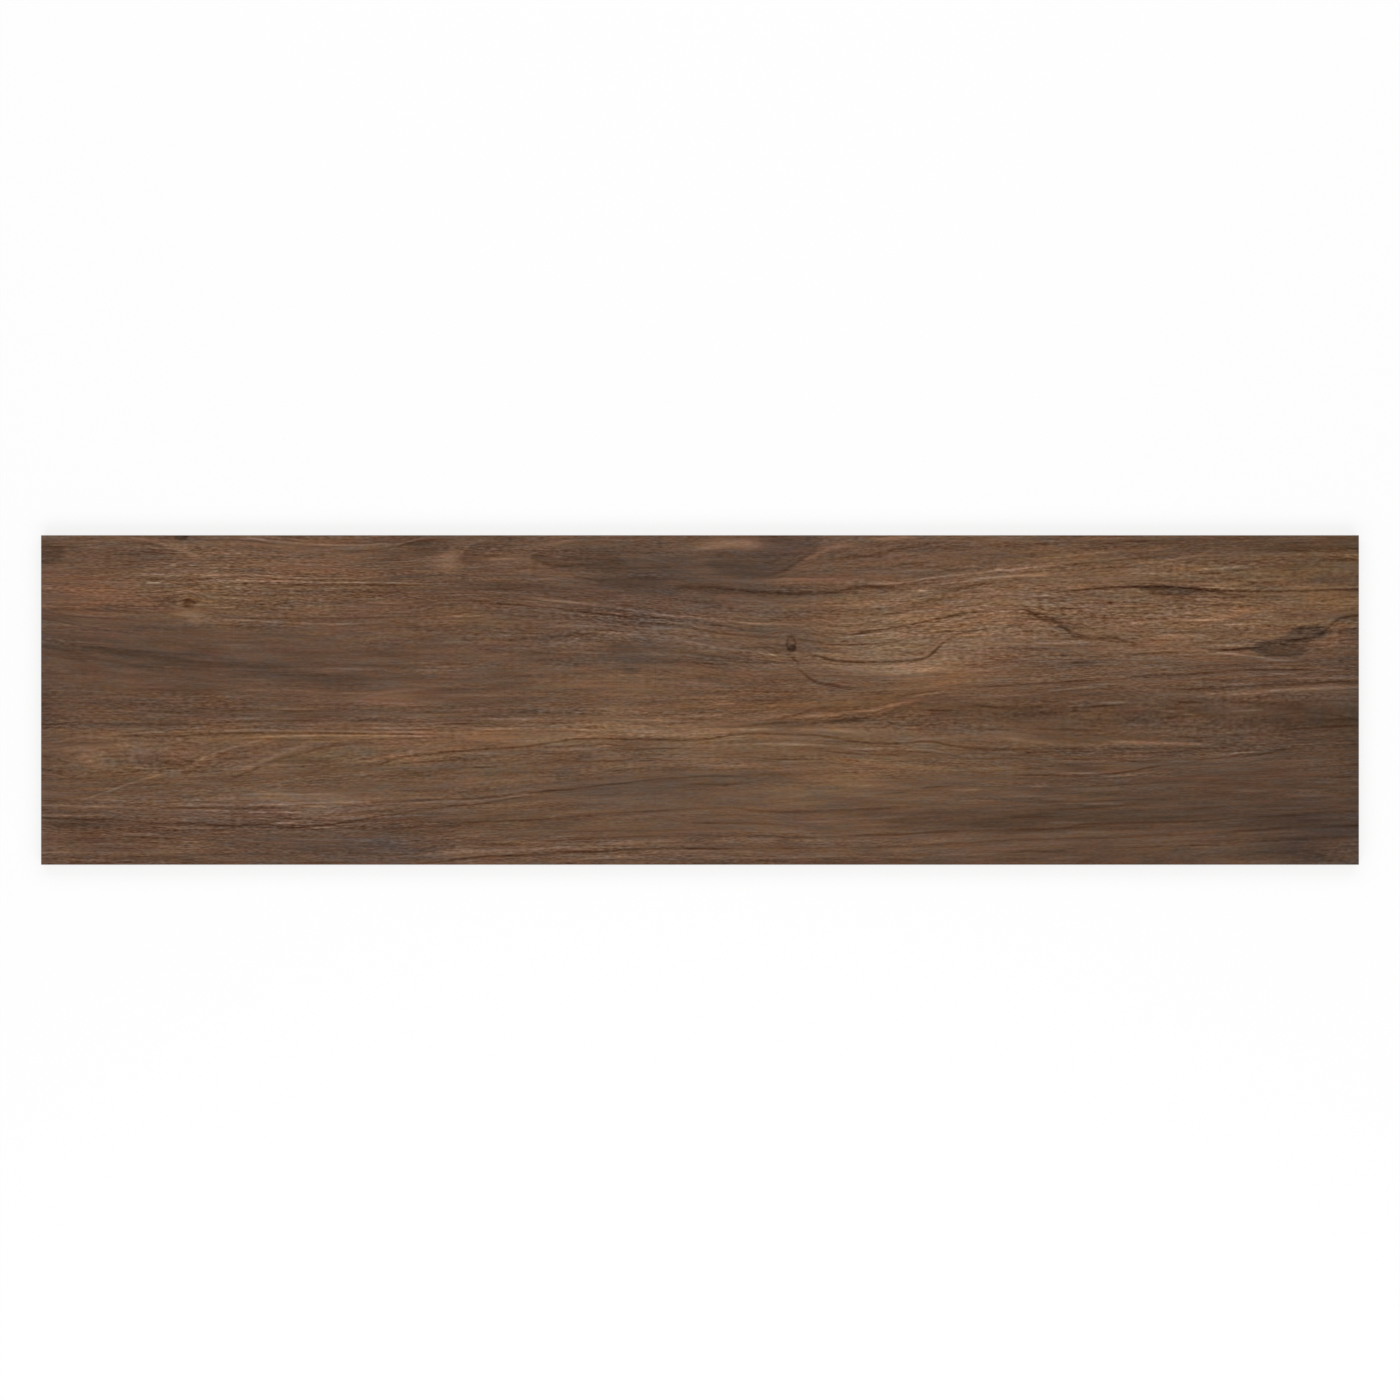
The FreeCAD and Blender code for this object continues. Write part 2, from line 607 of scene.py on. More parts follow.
# Long lines of the figure: tone, warmth, half width, then along and down of each point, from left to right
STROKES = (
    # left quarter, far half
    (15, 0.5, 0.6, 48, 23.2, 60, 23, 75, 23.6, 125, 23.8, 150, 25.4, 215, 25.4),
    (24, 0.3, 0.55, 92, 27.3, 120, 27.3, 175, 28.3, 237, 28.7),
    (-13, 0.2, 0.5, 98, 29, 150, 30, 165, 30.4, 203, 30, 225, 30.2),
    (8, 0.9, 0.9, 42, 0, 72, 4.2, 88, 10, 97, 12),
    (8, 0.1, 1.2, 72, 3, 80, 6, 90, 10.6, 98, 13),
    (-7, 0, 0.7, 54, 2.6, 70, 6.2, 80, 11, 94, 14),
    (15, 0.5, 0.7, 116, 0, 126, 1, 138, 2.8, 200, 5.2, 223, 3.6, 232, 1.2, 240, 0),
    (-8, 0, 0.6, 104, 1, 120, 2.4, 150, 6),
    (-11, -0.1, 0.7, 168, 8.4, 202, 8.4, 215, 6.5, 228, 3.5, 248, 1.8),
    (11, 0.1, 0.8, 56, 21.2, 76, 18.6, 88, 15.8, 102, 15),
    (-11, 0, 0.6, 48, 25.9, 72, 26.5, 96, 28.1),
    (10, 0.2, 0.7, 66, 38, 80, 35, 89, 33.6, 100, 36, 115, 38, 152, 39),
    (5, 0.8, 0.6, -30, 40.5, 20, 40.6, 45, 41.5),
    (-9, 0.1, 0.8, -30, 44.6, 32, 45.4, 65, 47, 88, 46.4),
    (-7, -0.2, 0.6, -30, 44.8, 0, 46, 20, 49, 60, 51),
    (-7, -0.2, 0.6, -20, 48, 10, 52, 30, 56, 68, 61),
    (12, 0.4, 0.7, 92, 51.4, 135, 52, 175, 54, 210, 52.4),
    (-12, 0.1, 0.6, 114, 50.6, 200, 50, 251, 47.6, 268, 45),
    (-5, -0.5, 1.3, -30, 63, 3, 64, 20, 66.4, 50, 70, 70, 71, 122, 76),
    (-6, -0.5, 1.2, -20, 66, 4, 67.4, 18, 71, 45, 77, 72, 81),
    (-4, -0.5, 1.5, 28, 70, 50, 72, 75, 74, 100, 78, 160, 79.5, 186, 80),
    (7, 0.2, 0.7, 140, 81.4, 165, 81, 230, 82, 262, 82),
    (-4, -0.6, 1.2, 118, 83, 203, 87, 230, 86),
    # left quarter, near half
    (10, 0.3, 0.7, 102, 112, 124, 111.4, 162, 111),
    (10, 0.4, 0.6, 34, 121.6, 104, 118.6, 165, 119, 240, 120),
    (-16, 0.2, 0.7, 38, 121.8, 86, 122, 104, 121, 165, 120.4, 240, 121.5),
    (13, 0.3, 0.6, 120, 123.4, 152, 122, 175, 122, 203, 121.6, 240, 122.6),
    (9, 0.2, 0.6, 148, 116, 168, 114.8, 218, 114.8),
    (8, 0.2, 0.7, 2, 127.4, 24, 122.6, 36, 120.8),
    (13, 0.3, 0.7, 20, 162.6, 31, 159.4, 50, 152.5, 60, 149.4, 70, 146.4, 80, 144.2, 88, 142.2, 95, 137.7,
     104, 133.2, 114, 130, 125, 126.9, 142, 122.6),
    (-6, 0, 0.8, 78, 146.5, 94, 142.6, 101, 138, 112, 132.4, 126, 128.6),
    (-11, 0.1, 1, 106, 152, 115, 148.7, 125, 144.4, 137, 139.6, 146, 136.2, 156, 133.4, 166, 130.6, 176,
     128.4, 196, 126.4),
    (7, 0.2, 1.3, 114, 145.6, 128, 140.4, 158, 128.4, 172, 125.6),
    (7, 0.2, 0.9, 158, 151, 175, 141.6, 190, 138.8, 203, 136.6, 225, 131),
    (14, 0.1, 0.8, -20, 163.4, 22, 165.2, 45, 165.4, 70, 165.8, 84, 164.6, 126, 164.6, 150, 163.4, 210,
     162),
    (9, 0.1, 0.6, -10, 170.6, 40, 170.8, 80, 172.8),
    (-14, 0.1, 0.7, -20, 171, 24, 173, 46, 173.6, 62, 175, 100, 176.2, 118, 177, 136, 176.4, 150, 177.8,
     184, 175, 203, 171.6, 234, 167.4),
    (21, 0.3, 0.6, 64, 177, 80, 178, 116, 178.4),
    (-10, 0, 0.7, -30, 115, 3, 115, 25, 114.2, 50, 115, 112, 114.8),
    (-14, 0.1, 0.6, 98, 114.4, 146, 113, 172, 113.2),
    (-6, 0, 0.8, 4, 130.4, 18, 127.6, 36, 125),
    # second quarter, far half
    (12, 0.3, 1, 250, 15, 259, 6.4, 278, 0.2),
    (9, 0.2, 0.9, 294, 6, 315, 4, 328, 2),
    (-9, 0, 0.8, 292, 12, 300, 14.4, 306, 17, 330, 17.6, 344, 17),
    (-6, -0.2, 0.6, 314, 21.8, 340, 27.9, 354, 30.4),
    (7, -0.2, 0.6, 310, 20.4, 335, 23, 346, 24.8, 360, 26),
    (-15, -0.3, 0.8, 250, 39, 310, 44, 330, 46.5, 350, 49, 372, 53.5, 385, 54.6, 400, 57.4, 430, 61.2,
     452, 62),
    (-10, -0.2, 0.6, 322, 44.6, 352, 47, 372, 50, 400, 52.4, 425, 57, 447, 58.6),
    (16, 1.8, 0.8, 288, 36.6, 317, 40, 345, 43, 365, 46.5, 400, 50.4, 415, 51.4, 430, 53.2, 472, 54),
    (7, -0.2, 0.7, 298, 56, 330, 55, 368, 59.4),
    (11, 0.4, 0.8, 374, 60.6, 400, 66, 412, 68.4, 424, 69.4, 438, 71.4, 454, 73),
    (-8, -0.2, 0.7, 374, 70, 400, 72, 440, 77.4, 460, 76.4),
    (9, 0.9, 0.6, 418, 73, 432, 74.6, 444, 75.8, 460, 74.6),
    (-6, 0, 0.7, 258, 49.6, 290, 52, 314, 57.6),
    (-7, 0, 0.7, 188, 79.4, 225, 79, 251, 78, 274, 78.6),
    (8, 0.6, 0.9, 190, 98.4, 202, 96.8, 215, 94.6, 240, 94.5),
    # second quarter, near half
    (12, 1, 0.9, 190, 100.4, 206, 101.8, 234, 103.8),
    (10, 0.2, 0.6, 188, 114.8, 215, 114.4, 240, 114.4, 254, 113.4),
    (12, 0.3, 0.6, 254, 119, 306, 117.2, 350, 119.2),
    (12, 0.3, 0.8, 350, 112, 368, 112.4, 384, 113.2, 402, 113.4),
    (12, 0.4, 0.9, 368, 121.6, 404, 121, 424, 119),
    (7, 0.3, 0.9, 278, 127.4, 292, 126, 308, 123.4),
    (5, 0.2, 0.7, 188, 140.6, 203, 137, 216, 133.6, 236, 130),
    (13, 0.3, 0.8, 298, 130.8, 318, 130.6, 354, 127.4),
    (11, 0.1, 0.7, 200, 164.4, 240, 162.6, 262, 162, 290, 158.6, 308, 156.8),
    (-9, -0.2, 0.7, 186, 163, 245, 160.8, 262, 160.2, 300, 156.4, 318, 155, 337, 152.6, 355, 150.8, 374,
     148.6, 390, 147.6, 404, 146.6, 432, 146.8),
    (-11, -0.1, 0.7, 218, 168, 256, 164.6, 268, 163.6, 288, 160, 304, 158),
    (13, 0.2, 0.7, 188, 173.6, 218, 171, 244, 170.4),
    (11, 0.3, 1.2, 336, 188, 356, 187.2, 400, 185.2),
    (11, 0.2, 1.1, 220, 196.4, 246, 193.4, 270, 192.4, 330, 189.6),
    (7, 0.1, 0.9, 320, 197, 348, 196, 400, 196.6, 424, 196),
    (-14, 0.2, 0.7, 218, 104.6, 232, 104.4, 248, 105.6),
    (-11, 0.1, 0.5, 192, 118.8, 250, 118.6, 302, 119.8),
    (-15, 0, 0.6, 350, 114.8, 372, 114.6, 408, 113.8),
    (-10, 0.3, 0.6, 194, 124, 215, 124, 260, 122),
    (-17, 0.1, 0.8, 196, 142.6, 208, 138.6, 218, 135.2, 230, 133.8, 260, 130.8, 298, 128.2, 322, 124.4,
     370, 124.4, 402, 124.2, 426, 120.8, 446, 121, 478, 122.6, 490, 125, 526, 126.6, 537, 125.6, 562,
     129.4, 602, 131),
    (-7, 0, 0.7, 206, 141, 226, 138.6, 284, 135),
    (-8, 0.1, 0.6, 336, 131.4, 360, 130.6, 384, 129.6, 408, 130),
    (-9, 0.1, 0.9, 180, 178.6, 226, 178, 248, 177.2, 262, 175.6, 285, 174.2, 330, 171, 348, 169.4, 402,
     166.6, 416, 166, 430, 167.2, 445, 168.2, 490, 167.4, 530, 165.4),
    (-10, 0.1, 0.8, 288, 187.6, 352, 184, 372, 183.8, 430, 183, 456, 184.2, 500, 183, 522, 182.4, 538,
     181, 603, 179.6, 648, 177),
    (-6, 0, 0.7, 306, 181, 350, 180, 404, 180),
    (-22, 0, 0.9, 224, 200.2, 240, 199, 266, 196, 304, 194.4, 322, 193, 340, 192.6, 384, 190.8, 402, 191,
     424, 190.8),
    (-9, 0, 0.8, 404, 191, 530, 189.4, 586, 186, 650, 184.2),
    # third quarter, far half
    (13, 1.2, 2.2, 390, 8, 432, 5, 442, 7),
    (-10, -0.4, 1.2, 434, 26, 452, 20.5, 462, 14, 475, 5),
    (9, 1.8, 1.2, 453, 19.6, 470, 11.6, 478, 8, 500, 5),
    (13, 1.6, 1.4, 498, 3.6, 508, 2.2, 536, 0.2),
    (-10, 0, 1.2, 476, 15.6, 487, 13, 512, 10.4, 520, 8, 532, 6, 558, 2),
    (6, 0.2, 0.9, 472, 18, 484, 16, 500, 14.6, 530, 10.8, 552, 9),
    (3, 1, 1.6, 508, 3.6, 560, 2.8, 588, 3.6),
    (13, 0.9, 0.6, 438, 26.8, 458, 26, 472, 26.4, 492, 26),
    (2, 1, 1.8, 420, 27.4, 470, 27.4, 500, 29),
    (16, 0.4, 0.8, 496, 29.8, 508, 29, 516, 28.9, 530, 27.6),
    (18, 0.2, 0.7, 512, 29.4, 527, 28, 537, 26, 550, 24.6, 562, 23, 590, 20.4, 603, 19, 626, 18),
    (19, 0.3, 0.7, 538, 30.6, 550, 28.6, 560, 28, 570, 26.4, 620, 23.2),
    (10, 0.2, 1.1, 498, 40.8, 510, 39.9, 522, 38, 534, 35.2),
    (11, 0.6, 1.5, 504, 53, 545, 43.6, 555, 41, 563, 38, 572, 35.8, 604, 36),
    (13, 0.1, 0.6, 538, 54.3, 570, 47.9, 585, 46.3, 602, 45.7),
    (9, 0, 0.6, 480, 62.6, 515, 59, 554, 52.6),
    (11, 0.2, 0.7, 464, 71, 475, 72, 494, 75),
    (9, 0, 1.3, 476, 80, 500, 82, 516, 83, 552, 79.6),
    (5, 0.7, 0.8, 484, 97, 500, 95, 540, 91.6, 560, 88),
    (12, 0.6, 0.8, 520, 100, 546, 95.2, 564, 93),
    (-12, 0.4, 0.8, 512, 99.4, 526, 97, 536, 96, 552, 93),
    (-13, -0.4, 1.4, 378, 31, 415, 31.8, 430, 33.4, 472, 34.8, 486, 33.6, 496, 31.2, 512, 31.4, 528, 33),
    (-12, -0.2, 1.2, 480, 34.6, 492, 32.2, 514, 32.1, 528, 33.8),
    (-15, 0.3, 1, 528, 41.6, 538, 39.2, 548, 38, 560, 36.4),
    (-15, 0.1, 1.1, 544, 36.6, 554, 33.6, 562, 31, 580, 28.6, 603, 25.2),
    (-19, -0.4, 0.8, 486, 61.6, 496, 59.6, 506, 57.8, 518, 55.8, 530, 54, 542, 51, 553, 49.2, 561, 47.2,
     571, 46.4, 584, 45.2),
    (-11, 0, 0.7, 462, 52, 474, 54, 486, 55, 496, 54.6, 506, 52.4, 518, 50.8),
    (-12, -0.2, 0.6, 483, 62, 515, 57, 526, 55.6),
    (-21, -0.3, 0.7, 468, 65.6, 478, 66.3, 492, 66.5, 505, 66, 515, 64.8, 528, 63.6),
    (-17, -0.2, 1, 454, 62.6, 466, 64, 482, 65.8),
    (-25, -0.4, 0.95, 462, 70, 472, 73.6, 520, 76.5, 533, 75.6, 538, 74, 550, 63.6, 556, 61),
    (-8, -0.3, 0.8, 534, 75.4, 538, 74, 543, 69.8, 550, 63.6, 563, 58.4, 594, 55),
    (-21, -0.4, 1.15, 454, 76.6, 471, 89.4, 480, 91, 488, 92.4, 500, 92.6),
    (-15, 0.1, 0.8, 548, 93.4, 632, 88.4, 650, 86.8),
    # third quarter, near half
    (19, 1.6, 1.1, 454, 111.4, 470, 109.6, 488, 108.4, 514, 104.2, 524, 101.8, 538, 99),
    (8, 0.8, 0.8, 456, 104, 470, 101, 498, 97.4),
    (10, 0.3, 1, 386, 119.8, 430, 118.2, 454, 118.8),
    (8, 0.3, 1, 454, 118.4, 476, 118.4, 490, 119.8, 504, 122.6, 520, 123.4, 560, 123.4, 584, 125.4),
    (14, 0.2, 0.8, 396, 128.4, 425, 127.2, 470, 127.8, 486, 129.4, 520, 130.5, 540, 131, 558, 133.2),
    (8, 0.2, 0.9, 396, 172, 424, 172.8, 474, 174.4, 500, 172.6, 550, 170),
    (8, 0.7, 1.1, 398, 186.4, 432, 186.2, 450, 187.2),
    (5, 0.4, 1.2, 448, 187, 512, 185.8, 566, 182.8, 608, 181.8),
    (11, 0.8, 0.7, 394, 196, 414, 195.8, 434, 196.6, 480, 195.8, 514, 195.6),
    (-11, 0.3, 0.8, 412, 109.2, 430, 107.8, 444, 105.6, 458, 105),
    (-11, 0.2, 1, 438, 113, 452, 110.6, 472, 105.4, 488, 103.6),
    (-12, 0.1, 0.9, 406, 116.8, 426, 116, 464, 112.6),
    (-11, 0, 0.9, 448, 118, 478, 113.4, 490, 112.6, 506, 110.8),
    (-10, 0, 0.9, 556, 102.4, 570, 103.6, 582, 104.8, 604, 104.4),
    (-11, 0.1, 0.6, 388, 135.4, 408, 135.4, 428, 134.8, 444, 136.4, 462, 136.4, 484, 136.2),
    (-10, 0, 0.9, 466, 130.4, 480, 131.6, 492, 133, 530, 133.6),
    (-10, -0.4, 0.8, 386, 151.4, 422, 151.4, 434, 150.4),
    # right quarter, far half
    (7, 0.4, 1.1, 598, 14.2, 626, 12, 660, 8.6),
    (15, 0.2, 0.7, 654, 18.4, 666, 16.6, 678, 15.4, 707, 11.6),
    (10, 0.4, 0.9, 692, 22, 726, 18.8, 752, 14.4, 768, 13.2),
    (10, 0.6, 1.2, 750, 12.2, 768, 11.2, 812, 11.4),
    (7, 0.4, 0.7, 694, 0.2, 708, 1.2, 718, 3, 736, 4.4),
    (8, 1.1, 0.8, 700, 12.4, 708, 9.6, 714, 7, 726, 3.8),
    (11, 0.5, 0.6, 772, 32.2, 790, 31.3, 812, 31),
    (20, 0.2, 0.7, 706, 70.8, 718, 71.6, 728, 72.6, 740, 74.2, 756, 76.2),
    (11, 0.3, 0.8, 750, 87.4, 772, 86.6, 812, 86),
    (17, 0.3, 0.8, 604, 96, 630, 92.8, 644, 91.6),
    (17, 0.9, 1, 694, 97.8, 712, 96.8, 728, 96.4, 756, 93.8, 812, 92),
    (-12, 0, 1, 604, 19.6, 618, 18.8, 630, 17, 646, 15),
    (-12, 0, 0.8, 642, 16.2, 668, 13.6, 684, 12.4),
    (-20, 0.1, 0.9, 614, 34.2, 627, 33.4, 640, 32, 704, 32.4, 714, 33.4, 733, 33.8, 800, 32.8, 830, 32.6),
    (-16, -0.2, 1.1, 634, 32.6, 650, 31.6, 682, 32, 714, 33.8),
    (-13, -0.1, 0.8, 702, 32.8, 714, 34.4, 722, 36, 734, 37.4),
    (-11, 0, 0.8, 738, 9.8, 760, 9, 812, 8),
    (-8, 0, 0.7, 704, 22.8, 738, 19.4, 768, 17),
    (-16, -0.3, 1.4, 590, 40, 600, 45, 606, 49, 612, 51.6, 618, 53.2, 622, 56.4, 626, 60.6, 632, 62.2,
     641, 62.7, 650, 62.2, 662, 66, 676, 67.2),
    (-23, -0.1, 0.8, 656, 73.3, 670, 71.9, 700, 71.1),
    (-32, -0.1, 0.8, 702, 70.4, 723, 69.5, 744, 67.4),
    (-22, -0.2, 1, 752, 64, 764, 63, 772, 61.6, 777, 59.6, 781, 56.4, 785, 52.6, 789, 50.2, 795, 48.9,
     806, 48.4, 830, 48.6),
    (-15, 0.1, 0.8, 654, 86.6, 666, 85.6, 694, 84.4, 752, 81.4, 778, 82),
    (-17, 0, 0.8, 684, 94, 727, 92.6, 745, 91.4, 762, 90.9, 775, 89.6, 800, 88.8, 830, 88),
    # right quarter, near half
    (8, 0.9, 1.3, 576, 122.6, 597, 125, 612, 127, 648, 127.2, 662, 126.4, 680, 127, 700, 127, 716, 127.8),
    (14, 2.6, 0.9, 638, 126.2, 660, 125.8, 680, 126.4, 700, 127, 718, 127.4),
    (11, 0.3, 0.8, 612, 137.4, 628, 137.8, 662, 136.4),
    (14, 0.3, 0.6, 639, 147.6, 650, 147, 672, 144.4),
    (6, 0.7, 1, 588, 182.2, 636, 181, 692, 180.2),
    (5, 0.3, 1.2, 662, 187.2, 684, 185.4, 730, 183.2),
    (-10, -0.1, 0.8, 592, 117.8, 640, 119, 660, 120.2),
    (-14, 0, 0.8, 744, 119.2, 800, 115.8, 830, 115),
    (-6, 0.1, 0.6, 584, 130.4, 662, 130.2, 716, 129.4),
    (-12, 0.1, 0.6, 630, 133, 678, 132.2, 702, 130.8),
    (-14, 0.1, 0.7, 642, 136.8, 658, 137.2, 670, 138, 684, 137),
    (-11, 0, 1.1, 586, 136.4, 602, 137.2, 618, 138.2),
    (-14, 0.1, 0.7, 582, 146.2, 600, 146, 641, 146.2, 664, 143.2, 672, 141.6, 688, 139.6),
    (-14, 0, 0.7, 694, 137, 722, 135, 745, 132.6, 752, 131, 768, 129.2),
    (-7, 0, 0.7, 658, 149, 705, 146.4, 727, 145.5, 765, 142, 830, 138.6),
    (-5, 0, 0.7, 602, 153.4, 650, 152.6, 676, 150.4, 700, 150),
    (-8, -0.1, 0.7, 706, 160.4, 762, 160.8, 790, 160),
    (-8, 0.1, 0.7, 605, 168, 645, 165.6, 660, 164.4, 684, 163.8),
    (-9, 0.1, 0.8, 578, 179.4, 600, 178.8, 620, 178, 634, 176, 650, 175.4, 712, 173.4, 725, 172, 750, 171,
     770, 169.4, 830, 167),
    (-11, 0, 0.8, 630, 184.6, 659, 184, 679, 182.8, 697, 182.2, 774, 177.4, 830, 176.6),
    (-6, -0.1, 0.8, 636, 191, 698, 189.2, 776, 184.6, 812, 183.4),
)

